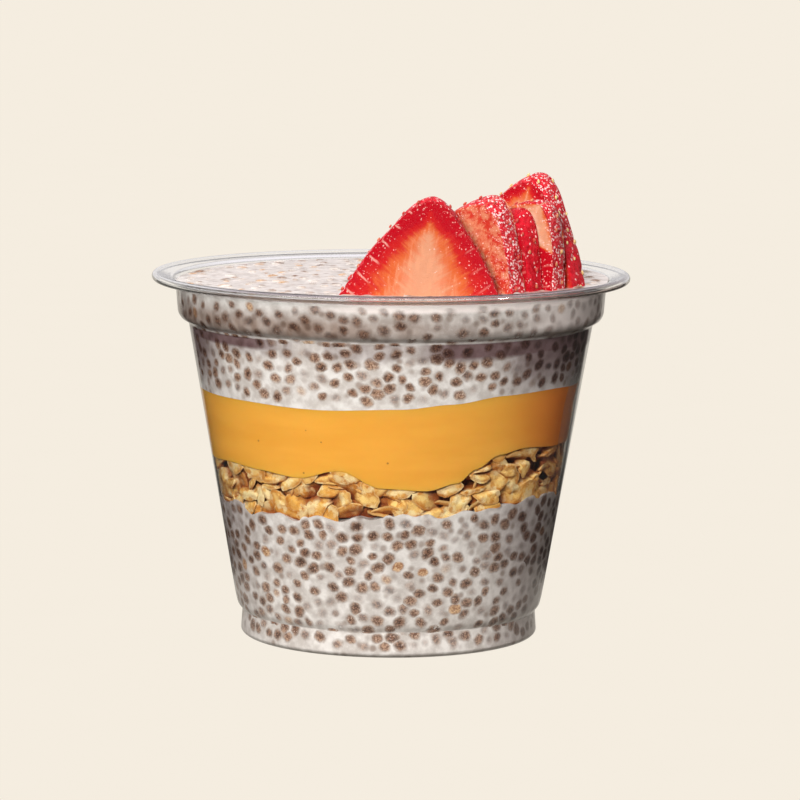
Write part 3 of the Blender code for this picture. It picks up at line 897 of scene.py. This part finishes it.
def side_seeds(name, floor, ceiling, material):
    """Seeds pressed against the wall between two heights."""
    radius = side_radius(0.0, (at_right(floor) + at_right(ceiling)) / 2)
    azimuths, heights = spread_out(SEED_TRIES, radius, floor, ceiling, SEED_SPACING, SEED_STRETCH)
    count = len(azimuths)
    above, below = (side_radius(azimuths, heights + step) for step in (SEED_SLOPE_STEP, -SEED_SLOPE_STEP))
    slope = np.clip((above - below) / (2 * SEED_SLOPE_STEP), -SEED_STEEPEST, SEED_STEEPEST)
    normals = unit(polar(1.0, azimuths, -slope))
    centres = polar(side_radius(azimuths, heights), azimuths, heights) + normals * SEED_LIFT
    shape, faces = plug()
    spins = partial(rng.normal, 0, SEED_TURN)
    points, faces = copies(shape, faces, centres, normals, SEED_HALF, SEED_SIZES, spins)
    proud = np.repeat(rng.uniform(*SEED_PROUD, count), len(shape))
    dome = 1 - np.tile(np.hypot(shape[:, 0], shape[:, 1]), count) ** 3
    hold_in(points, side_beside(points) + proud * dome + SEED_MARGIN)
    behind_collar = (heights > LEDGE_Z)[:, None] * COLLAR_DRAW
    kinds = seed_kinds(count, SEED_SOFT_SHARE) * (1 - behind_collar) + behind_collar * COLLAR_KIND
    make_seeds(name, shape, points, faces, kinds, material)


def top_seed_places():
    """Scattered (x, y) places on the pudding's top."""
    places = []
    for first, second in rng.random((TOP_SEED_TRIES, 2)):
        radius, azimuth = TOP_SEED_REACH * math.sqrt(first), second * 2 * math.pi
        place = np.array([radius * math.cos(azimuth), radius * math.sin(azimuth)])
        if not places or np.hypot(*(np.array(places) - place).T).min() > TOP_SEED_SPACING:
            places.append(place)
    return np.array(places)


def top_relief(places, radii, azimuths):
    """How far the top surface rises over the seeds and in small bumps, fading out at the wall."""
    points = polar(radii, azimuths)
    near = ((points[:, None, :2] - places) ** 2).sum(2).min(1)
    humps = HUMP_HEIGHT * np.exp(-near / HUMP_SPREAD)
    rough = TOP_ROUGH * ripple(points, TOP_ROUGH_LENGTH, 2)
    return (humps + rough) * smooth((SURFACE_RADIUS - radii) / SURFACE_EDGE)


def top_seeds(places, material):
    """Seeds that lie in the top surface."""
    count = len(places)
    azimuths = np.arctan2(places[:, 1], places[:, 0])
    radii = np.hypot(places[:, 0], places[:, 1])
    heights = SURFACE_Z + (radii / SURFACE_RADIUS) ** 2 * (surface(azimuths) - SURFACE_Z)
    centres = np.column_stack([places, heights - TOP_SEED_SUNK])
    normals = np.column_stack([rng.normal(0, TOP_SEED_LEAN, (count, 2)), np.ones(count)])
    shape, faces = ball(SEED_COLUMNS, TOP_SEED_RINGS)
    spins = partial(rng.uniform, 0, np.pi)
    points, faces = copies(shape, faces, centres, normals, SEED_HALF, TOP_SEED_SIZES, spins)
    kinds = seed_kinds(count, TOP_SOFT_SHARE)
    kinds[:, 2] = np.where(rng.random(count) < TOP_TAN_SHARE, 1.0, kinds[:, 2])
    kinds[:, 1] = np.maximum(kinds[:, 1], TOP_LEAST_SOFT)
    make_seeds("seeds_top", shape, points, faces, kinds, material)


def lower_pudding(gel, seeds):
    make_piece("pudding_lower", *layer(None, gel_edge), gel, "chia_pudding", ["chia_bottom"])
    floor = shifted(np.zeros_like, LOWEST_SEEDS)
    side_seeds("seeds_lower", floor, shifted(gel_edge, SEEDS_BELOW_OATS), seeds)


def upper_pudding(gel, seeds):
    places = top_seed_places()
    heights = FOOD_SIDE[:, 1]
    bends = [WALL_ROWS_END, *heights[(heights > COLLAR_ROWS[0]) & (heights < COLLAR_ROWS[1])]]
    points, faces = layer(butter_ceiling, surface, bends, partial(top_relief, places))
    make_piece("pudding_upper", points, faces, gel, "chia_pudding", ["chia_top"])
    floor = shifted(butter_ceiling, SEEDS_ABOVE_BUTTER)
    side_seeds("seeds_upper", floor, shifted(surface, SEEDS_BELOW_TOP), seeds)
    top_seeds(places, seeds)


def butter_material():
    """Smooth nut butter with faint smears, a few specks and a fine grain, and painted shade that darkens and
    reddens it towards the right.
    """
    shader = Shader("nut_butter_smooth")
    place = shader.place()
    x, y, z = place.split()
    smear = join(x, y, z * 5.0).noise(60.0, 3.0)
    distance, (chance, _, _) = place.cells(330.0)
    base = laid(
        BUTTER["dark"],
        (smear.step(0.3, 0.7), BUTTER["light"]),
        (distance.step(0.085, 0.05) * chance.step(0.72, 0.78, 0.75), BUTTER["speck"]),
        (place.noise(3000.0).step(0.66, 0.75, 0.18), BUTTER["grain"]),
        # Painted shade towards the right.
        (x.step(0.019, 0.034), BUTTER["right"], "MULTIPLY"),
    )
    shader.set(Base_Color=base, Roughness=0.5, Specular_IOR_Level=0.3)
    shader.set(Subsurface_Weight=0.5, Subsurface_Radius=(1.0, 0.6, 0.3), Subsurface_Scale=0.003)
    shader.set(Normal=smear.bump(0.1, 0.0003))
    return shader.material


def butter():
    points, faces = layer(butter_floor, butter_ceiling)
    make_piece("nut_butter_band", points, faces, butter_material(), "nut_butter", ["nut_butter"])


def oat_material():
    """Toasted flakes: cream and brown patches, brown towards the edge, floury patches that are partly painted
    highlights, painted highlights on the rims, and painted shade that makes them darker the deeper they lie,
    on their undersides and towards the right.
    """
    shader = Shader("oat_flake")
    place = shader.place()
    x, y, z = shader.attribute("flake_local", "Vector").split()
    upward = shader.output("NewGeometry", "Normal").split()[2]
    reach = length(x, y)
    patches = place.noise(700.0, 3.0, 0.6)
    fibres = join(x * 1.5, y * 9.0, z).noise(2.0)
    sunk = shader.attribute("flake_sunk") + patches * 0.3
    base = laid(
        OAT["dark"],
        (shader.attribute("flake_tone"), OAT["light"]),
        (patches.step(0.45, 0.64, 0.85), OAT["toasted"]),
        ((reach + (patches - 0.5) * 0.6).step(0.55, 0.95, 0.75), OAT["edge"]),
        # Floury patches, partly painted highlights.
        (place.noise(420.0, 3.0, 0.6).step(0.5, 0.62, 0.65), OAT["flour and painted highlight"]),
        # Painted highlight along the flakes' thin rims.
        (reach.step(0.9, 0.99, 0.35), OAT["rim"]),
        (fibres.step(0.5, 0.75, 0.3), OAT["fibre"]),
        # Painted shade in the crevices: the deeper a flake lies behind the wall, the darker.
        (sunk.step(0.26, 0.7, 0.95), OAT["sunk"]),
        # Painted shade on faces that turn downwards.
        (upward.step(0.1, -0.7, 0.85), OAT["underside"], "MULTIPLY"),
        # Painted shade towards the right.
        (place.split()[0].step(0.024, 0.035), OAT["right"], "MULTIPLY"),
    )
    shader.set(Base_Color=base, Roughness=0.7, Specular_IOR_Level=0.3)
    shader.set(Normal=(fibres + place.noise(2200.0, 4.0, 0.65)).bump(0.45, 0.0003))
    return shader.material


def shaded_oat_core_material():
    # Painted shade: the core's dark red-brown stands in for the shade between the flakes.
    shader = Shader("shaded_oat_core")
    crumbs = shader.place().noise(800.0, 4.0, 0.6)
    base = mix(crumbs.step(0.4, 0.65), OAT["shaded core dark"], OAT["shaded core light"])
    shader.set(Base_Color=base, Roughness=0.85, Normal=crumbs.bump(0.8, 0.001))
    return shader.material


def flake_shape():
    """A flake's disc as (across, along, side) on a unit circle: rings on its face, then on its back."""
    radii = np.sin(np.linspace(0, np.pi / 2, FLAKE_RINGS + 1))[1:]
    sides = np.repeat([1.0, -1.0], FLAKE_RINGS)
    return turned_body(np.append(radii, radii[::-1])[:, None], sides[:, None], 1.0, -1.0, FLAKE_COLUMNS)


def flake_outline(turn):
    """How far a flake reaches in each direction: in waves, and cut off by two straight breaks."""
    outline = np.ones_like(turn)
    for waves, most in FLAKE_WAVES:
        outline = outline + rng.uniform(0.01, most) * np.cos(waves * turn + rng.uniform(0, 6.28))
    for break_turn, break_reach in zip(rng.uniform(-3.14, 3.14, 2), rng.uniform(*FLAKE_BREAKS, 2)):
        facing = np.maximum(np.cos(turn - break_turn), 0.05)
        outline = np.minimum(outline, np.maximum(break_reach / facing, FLAKE_LEAST_REACH))
    return outline


def one_flake(shape):
    """A flake in its own axes: a broken outline, a fold, a groove along it, lumps and a crisp edge."""
    across, along, side = shape.T
    reach = np.hypot(across, along)
    outline = flake_outline(np.arctan2(along, across))
    size = rng.uniform(*FLAKE_SIZES)
    x = across * outline * FLAKE_HALF[0] * size
    y = along * outline * FLAKE_HALF[1] * size
    fold = rng.uniform(0, np.pi)
    over = x * np.cos(fold) + y * np.sin(fold)
    bend = rng.choice([-1, 1]) * rng.uniform(*FLAKE_BEND) * over**2 + rng.normal(0, 0.03) * x * y
    thick = FLAKE_THICK * np.sqrt(np.clip(1 - reach**5, 0, 1)) + FLAKE_EDGE
    groove = np.exp(-((y - rng.normal(0, 0.4)) / FLAKE_CREASE_WIDTH) ** 2)
    crease = FLAKE_CREASE * groove * (side > 0) * np.clip(1 - reach, 0, 1)
    number = int(rng.integers(1, 900))
    flat = np.stack([x, y, np.zeros_like(x)], 1)
    lumps = 0.15 * ripple(flat, 0.9, number) + 0.2 * ripple(flat, 2.2, number + 1)
    return np.stack([x, y, thick * side + bend + crease + lumps * (reach < 0.97)], 1)


def flake_places(kind):
    """Where one layer of flakes lies, and the axes of each: most lie flat, some stand on edge."""
    radius = side_radius(0.0, at_right(oats_floor))
    floor, ceiling = shifted(oats_floor, FLAKES_ABOVE_FLOOR), shifted(butter_floor, FLAKES_INTO_BUTTER)
    azimuths, heights = spread_out(FLAKE_TRIES, radius, floor, ceiling, kind["spacing"], FLAKE_STRETCH)
    count = len(azimuths)
    radii = side_radius(azimuths, heights) - rng.uniform(*kind["depths"], count)
    normals = polar(1.0, azimuths, 0.05)
    normals = normals + rng.normal(0, kind["tilt"], normals.shape)
    on_edge = rng.random(count) < ON_EDGE_SHARE
    steep = on_edge.sum()
    normals[on_edge, 2] += rng.choice(ON_EDGE_LEANS, steep) * rng.uniform(*ON_EDGE_SCALES, steep)
    return polar(radii, azimuths, heights), turned(normals, rng.normal(0, FLAKE_TURN, count))


def shaded_oat_core():
    """The core behind the flakes, drawn in from the wall, painted dark as painted shade in the gaps between
    the flakes.
    """
    points, faces = layer(gel_edge, butter_floor)
    radius = np.hypot(points[:, 0], points[:, 1])
    points[:, :2] *= np.clip(1 - OAT_CORE_DEPTH / np.maximum(radius, LEAST_LENGTH), 0, 1)[:, None]
    make_piece("shaded_oat_core", points, faces, shaded_oat_core_material(), "oats", ["oats"])


def oat_flakes():
    """Two layers of loose flakes behind the wall, whose points know their place, tone and depth."""
    shape, faces = flake_shape()
    layers = [flake_places(kind) for kind in (FRONT_FLAKES, BACK_FLAKES)]
    centres, axes = (np.concatenate(parts) for parts in zip(*layers))
    count = len(centres)
    points = np.vstack([one_flake(shape) @ turn + centre for centre, turn in zip(centres, axes)])
    limit = side_beside(points) - SINK_IN_WALL - FLAKE_GAP
    sunk = (limit - np.hypot(points[:, 0], points[:, 1])).clip(0) / BACK_FLAKES["depths"][1]
    hold_in(points, limit - np.repeat(rng.uniform(*FLAKE_PRESSED, count), len(shape)))
    values = {
        "flake_local": np.tile(shape, (count, 1)),
        "flake_tone": np.repeat(rng.random(count), len(shape)),
        "flake_sunk": sunk,
    }
    faces = repeated(faces, len(shape), count)
    make_piece("oat_flakes", points, faces, oat_material(), "oats", values=values)


def berry_radius(depth):
    """The radius of the strawberry at a depth below its tip."""
    cone = np.sqrt(TIP_ROUND * depth + (SPREAD * depth) ** 2)
    return cone * np.sqrt(np.clip(1 - (depth / BERRY_LENGTH) ** 6, 0, 1))


def slice_matrix(place):
    """The slice's axes: turned, leaned sideways and leaned back."""
    turn = Matrix.Rotation(math.radians(place["turn"]), 3, "Z")
    back = Matrix.Rotation(-LEAN_BACK, 3, "X")
    lean = Matrix.Rotation(math.radians(place["lean"]), 3, "Y")
    return np.array(turn @ back @ lean)


def section_point(share, part, radius, cuts):
    """A place on the outline of the cut form: part 0 is its right skin, then back, left skin and front."""
    low, high = (np.arcsin(np.clip(cut / radius, -1, 1)) for cut in cuts)
    right = low + share * (high - low)
    left = np.pi - (high + share * (low - high))
    back, front = radius * np.cos(high) * (1 - 2 * share), radius * np.cos(low) * (2 * share - 1)
    xs = (radius * np.cos(right), back, radius * np.cos(left), front)
    ys = (radius * np.sin(right), radius * np.sin(high), radius * np.sin(left), radius * np.sin(low))
    return np.choose(part, xs), np.choose(part, ys)


def slice_ends(share, part, place, matrix):
    """The depth at which each line down the slice meets the level that it stands on."""
    end = np.full(len(part), 20.0)
    for _ in range(SLICE_FIT_ROUNDS):
        x, y = section_point(share, part, place["width"] * berry_radius(end), place["cuts"])
        height = place["tip"][2] + matrix[2, 0] * x + matrix[2, 1] * y - matrix[2, 2] * end
        end = np.clip(end + (height - SLICE_FOOT_Z) / matrix[2, 2], *SLICE_DEPTHS)
    return end


def achene_spots(place, seed):
    """Where the achenes sit on the form, on rings that step round it."""
    draws = np.random.default_rng(seed)
    found = []
    for row, depth in enumerate(np.arange(*ACHENE_DEPTHS, ACHENE_RING_STEP)):
        count = max(int(2 * math.pi * place["width"] * berry_radius(depth) / ACHENE_SPACING), 3)
        for step in range(count):
            angle = 2 * math.pi * (step + 0.5 * (row % 2)) / count + draws.normal(0, 0.05)
            found.append((angle, depth + draws.normal(0, 0.25)))
    angles, depths = np.array(found).T
    return polar(place["width"] * berry_radius(depths), angles, -depths)


def between_cuts(spots, cuts, margin):
    """The spots that lie between the cuts and keep a margin from them."""
    return spots[(spots[:, 1] > cuts[0] + margin) & (spots[:, 1] < cuts[1] - margin)]


def achene_poses(spots, matrix, tip):
    """The centres and directions in space of the achenes that stand above the pudding."""
    normals = unit(spots * [1, 1, 0])
    normals[:, 2] = ACHENE_TIPPED
    centres = (spots - normals * ACHENE_SUNK) @ matrix.T + tip
    above = centres[:, 2] > SURFACE_Z
    return centres[above], (normals @ matrix.T)[above]


def slice_relief(points, rim, face_side, spots, number):
    """Draws in and dents the skin, and roughens the cut faces."""
    nearest = ((points[:, None] - spots) ** 2).sum(2).min(1)
    dents = DENT_DEPTH * np.exp(-nearest / DENT_SPREAD)
    fine = SKIN_FINE * ripple(points, SKIN_FINE_LENGTH, number)
    broad = SKIN_BROAD * ripple(points, SKIN_BROAD_LENGTH, number + 40)
    inward = (dents + (fine + broad + SKIN_INSET)) * smooth((rim - 0.93) / 0.07)
    points = points - unit(points * [1, 1, 0]) * inward[:, None]
    rough = FACE_RELIEF * ripple(points * [1, 1, 0.45], FACE_RELIEF_LENGTH, number + 20)
    points[:, 1] += face_side * (1 - smooth((rim - 0.85) / 0.13)) * rough
    return points


def strawberry_slice(number, place, material):
    """Makes one slice as a dense closed mesh, and gives the places and directions of its achenes."""
    matrix, tip, cuts = slice_matrix(place), np.array(place["tip"]), place["cuts"]
    counts = (SLICE_SKIN_COLUMNS, SLICE_FACE_COLUMNS) * 2
    part = np.repeat(np.arange(4), counts)
    share = np.concatenate([np.arange(n) / n for n in counts])
    end = slice_ends(share, part, place, matrix)
    rows = (np.arange(1, SLICE_ROWS + 1) / SLICE_ROWS) ** SLICE_ROW_POWER
    depth = rows[:, None] * end
    radius = place["width"] * berry_radius(depth)
    x, y = section_point(share, part, radius, cuts)
    on_skin = part % 2 == 0
    chord = np.abs(x) / np.maximum(np.sqrt(np.clip(radius**2 - y**2, 0.01, None)), 0.1)
    reach = np.where(on_skin, 1.0, chord)
    skin = np.where(on_skin, np.where(share == 0, CORNER_SKIN, 1.0), 0.0)
    face_side = np.array([0.0, 1.0, 0.0, -1.0])[part]

    form = np.stack([x, y, depth], -1).reshape(-1, 3)
    spots = achene_spots(place, number)
    rim = (np.hypot(x, y) / radius).ravel()
    dents = between_cuts(spots, cuts, -DENTS_BEYOND_CUTS)
    points = slice_relief(form * [1, 1, -1], rim, np.tile(face_side, SLICE_ROWS), dents, number)
    points = np.vstack([np.zeros((1, 3)), points, points[-len(part):].mean(0, keepdims=True)])
    deep = -points[:, 2]
    values = {
        "form": np.vstack([np.zeros((1, 3)), form, [[0, 0, end.mean()]]]),
        "reach": np.concatenate([[1.0], reach.ravel(), [0.3]]),
        "ripe": place["ripe"] + place["deep"] * smooth((deep - 6.6) / 1.5),
        "even": np.full(len(points), place["even"]),
        "painted_glints": place["painted_glints"] * (1 - place["fades"] * smooth((deep - 8.0) / 6.0)),
        "skin": np.concatenate([[1.0], np.tile(skin, SLICE_ROWS), [0.0]]),
    }
    faces = closed_by_points(SLICE_ROWS, len(part))
    node = f"strawberry_{number}"
    make_piece(f"slice_{number}", points @ matrix.T + tip, faces, material, "strawberry", [node], values)
    return achene_poses(between_cuts(spots, cuts, ACHENE_FROM_CUTS), matrix, tip)


def flesh_streaks(lines, x, reach, skin):
    """The share of the pale lines that run inwards from the edge of the cut."""
    phase = (lines.math("DIVIDE", 4.6).math("FRACT") - 0.5).math("ABSOLUTE")
    at_edge = phase.step(0.07, 0.02) * reach.step(0.68, 0.78) * reach.step(0.97, 0.9)
    return at_edge * skin.step(0.5, 0.1, 0.6) * x.step(4.0, -4.0, start=0.35)


def flesh_glints(strewn, depth, reach, painted_glints):
    """The share of small painted glints, highlights on the moist flesh, which are more where the slice is
    given more painted glints.
    """
    distance, (chosen, size, _) = strewn.cells(2.4)
    far = size.step(0.0, 1.0, 0.46, start=0.14)
    chance = reach.step(0.45, 0.95, 0.34, start=0.02) + depth.step(5.5, 2.0, 0.4)
    chance = chance + painted_glints * reach.step(0.1, 0.9, 0.4, start=0.1)
    return distance.step(far, far * 0.6) * chosen.math("LESS_THAN", chance) * 0.6


def berry_skin(form, strewn, painted_glints):
    """The red skin, with painted sheen in patches and painted flecks of highlight where the slice has painted
    glints.
    """
    distance, (_, chosen, _) = strewn.cells(2.0)
    few = chosen.math("LESS_THAN", painted_glints * 0.7)
    return laid(
        SKIN["dark"],
        (form.noise(1.2).step(0.3, 0.7), SKIN["light"]),
        (form.noise(1.4, 3.0, 0.6).step(0.45, 0.6) * painted_glints * 0.4, SKIN["painted wet sheen"]),
        (distance.step(0.52, 0.3) * few * 0.92, SKIN["painted sparkle fleck"]),
    )


def flesh_material():
    """Cut flesh and skin, coloured by the place in the strawberry: pale core, orange, crimson edge, with
    painted glints on flesh and skin.
    """
    shader = Shader("strawberry_flesh")
    form = shader.attribute("form", "Vector")
    reach, skin, painted_glints = (shader.attribute(name) for name in ("reach", "skin", "painted_glints"))
    x, y, depth = form.split()
    aside = x.math("ABSOLUTE")
    fan = depth + aside * 0.73
    rays = join(fan * 1.3, aside * 0.22, y).noise(1.0, 3.0)
    blur = form.noise(0.35, 3.0, 0.55)
    tip = depth.step(9.0, 1.2, 0.8)
    ring = reach + (blur * 0.3 + rays * 0.42 - 0.36) + tip + shader.attribute("ripe")
    ring = ring + depth.step(7.0, 17.0, -0.06, start=0.13)
    torn = form.noise(0.8, 5.0, 0.7)
    fibres = join(x, y, depth * 0.2).noise(1.6)
    strewn = form.vector("ADD", form.noise(1.6, 2.0, 0.6, "Color").vector("MULTIPLY", (0.9, 0.9, 0.9)))
    base = laid(
        FLESH["core"],
        (ring.step(-0.5, 0.0), FLESH["inner"]),
        (ring.step(0.12, 0.46), FLESH["orange"]),
        (ring.step(0.42, 0.68), FLESH["red"]),
        (ring.step(0.7, 0.92), FLESH["crimson"]),
        (shader.attribute("even") * 0.8, mix(torn.step(0.42, 0.6), *MOTTLED_FLESH)),
        (flesh_streaks(fan + blur * 1.4, x, reach, skin), FLESH["streak"]),
        (fibres.step(0.45, 0.7, 0.55) * ring.step(0.58, 0.34), FLESH["fibre"]),
        (rays.step(0.56, 0.7, 0.4) * ring.step(0.72, 0.5), FLESH["ray"]),
        # Painted highlights: small glints on the flesh.
        (flesh_glints(strewn, depth, reach, painted_glints), FLESH["painted glint"]),
        (skin.step(0.3, 0.7), berry_skin(form, strewn, painted_glints)),
    )
    pores = form.noise(5.0, 3.0, 0.6)
    shader.set(Base_Color=base, Roughness=pores.step(0.35, 0.65, 0.4, start=0.18))
    shader.set(Specular_IOR_Level=0.12, Subsurface_Weight=0.05, Subsurface_Radius=(1.0, 0.35, 0.2))
    shader.set(Subsurface_Scale=0.0015, Normal=(pores + form.noise(3.4, 2.0, 0.7)).bump(0.5, 0.0004))
    return shader.material


def achene_material():
    shader = Shader("achene")
    grain = shader.place().noise(2500.0)
    base = laid(
        ACHENE["red"],
        (shader.attribute("achene_tone"), ACHENE["yellow"]),
        (grain.step(0.5, 0.7, 0.5), ACHENE["grain"]),
    )
    shader.set(Base_Color=base, Roughness=0.35, Normal=grain.bump(0.3, 0.0001))
    return shader.material


def strawberries():
    """The five slices, then the achenes on all of them as one piece."""
    flesh = flesh_material()
    found = [strawberry_slice(number, place, flesh) for number, place in enumerate(SLICES, start=1)]
    centres, normals = (np.vstack(parts) for parts in zip(*found))
    shape, faces = ball(ACHENE_COLUMNS, ACHENE_RINGS)
    spins = partial(rng.normal, 0, ACHENE_TURN)
    points, faces = copies(shape, faces, centres, normals, ACHENE_HALF, ACHENE_SIZES, spins)
    tones = np.repeat([place["achenes"] for place in SLICES], [len(places) for places, _ in found])
    tones = np.clip(tones + rng.normal(0, ACHENE_TONES, len(tones)), 0, 1)
    values = {"achene_tone": np.repeat(tones, len(shape))}
    make_piece("achenes", points, faces, achene_material(), "strawberry", values=values)


def floor_mirrored(x, y, away):
    """How strongly glass and gloss mirror the floor: its patches in front, near the foot and behind."""
    front = x.between(-0.30, -0.09, 0.0, 0.12) * y.step(0.02, -0.06, MIRRORED_FLOOR)
    near = away.step(0.08, 0.048, MIRRORED_NEAR)
    beside = (x - y * 0.6).most(x * -1.0 - y * 0.62)
    behind = y.step(0.03, 0.09) * beside.step(0.0, -0.05, MIRRORED_BEHIND)
    return front.most(near).most(behind).most(MIRRORED_ELSEWHERE)


def floor():
    """A pale floor that glows by itself, so that nothing throws a shadow on it."""
    shader = Shader("floor")
    place = shader.place()
    x, y, _ = place.split()
    away = length(x, y)
    depth, diffuse = shader.rays("Glossy Depth", "Is Diffuse Ray")
    glow = either(depth.step(0.4, 0.6), FLOOR_GLOW, floor_mirrored(x, y, away))
    glow = either(diffuse, glow, away.step(0.10, 0.05, FLOOR_BOUNCE))
    tone = mix(place.noise(40.0), FLOOR["dark"], FLOOR["light"])
    shader.set(Base_Color=(0.0, 0.0, 0.0, 1.0), Roughness=0.9, Specular_IOR_Level=0.0)
    shader.set(Emission_Color=tone, Emission_Strength=glow)
    shader.material.cycles.emission_sampling = "NONE"
    mesh = bpy.data.meshes.new("floor")
    mesh.from_pydata(FLOOR_CORNERS, [], [(0, 1, 2, 3)])
    mesh.materials.append(shader.material)
    piece = add_object("floor", mesh)


def lights():
    for name, (place, size, power, kind) in LIGHTS.items():
        data = bpy.data.lights.new(name, "AREA")
        data.shape = "RECTANGLE"
        data.size, data.size_y = size
        data.energy = power
        lamp = add_object(name, data)
        lamp.location = place
        lamp.rotation_euler = (Vector(LIT_PLACE) - Vector(place)).to_track_quat("-Z", "Y").to_euler()
        lamp.visible_camera = False
        lamp.visible_transmission = False
        lamp.visible_glossy = kind == "shiny"
        lamp.visible_diffuse = kind == "dull"


def world():
    """A dim warm fill for dull surfaces and a room to mirror: dim in front, pale behind, bright above."""
    made = bpy.data.worlds.new("studio")
    bpy.context.scene.world = made
    made.cycles.sampling_method = "NONE"
    shader = Shader("studio", made)
    x, y, z = shader.output("TexCoord", "Generated").split()
    room = laid(
        ROOM_FRONT,
        (y.step(-0.5, 0.3), ROOM_BACK),
        (x.step(0.2, 0.8), ROOM_RIGHT),
        (z.step(0.4, 0.75), ROOM_ABOVE),
        (shader.rays("Is Diffuse Ray")[0], FILL),
    )
    shader.plug(shader.tree.nodes["Background"], "Color", room)


def camera():
    data = bpy.data.cameras.new("camera")
    data.lens = CAMERA_LENS
    data.sensor_width = SENSOR
    made = add_object("camera", data)
    tilt = Matrix.Rotation(math.pi / 2 - CAMERA_DIP, 4, "X")
    made.matrix_world = Matrix.Translation(CAMERA_PLACE) @ tilt @ Matrix.Rotation(CAMERA_ROLL, 4, "Z")
    bpy.context.scene.camera = made


def main():
    camera()
    cup()
    gel = gel_material()
    seeds = seed_material()
    lower_pudding(gel, seeds)
    upper_pudding(gel, seeds)
    butter()
    shaded_oat_core()
    oat_flakes()
    strawberries()
    floor()
    lights()
    world()
    scene = bpy.context.scene
    scene.view_settings.view_transform = "Standard"
    scene.cycles.caustics_refractive = False
    scene.cycles.caustics_reflective = False


main()
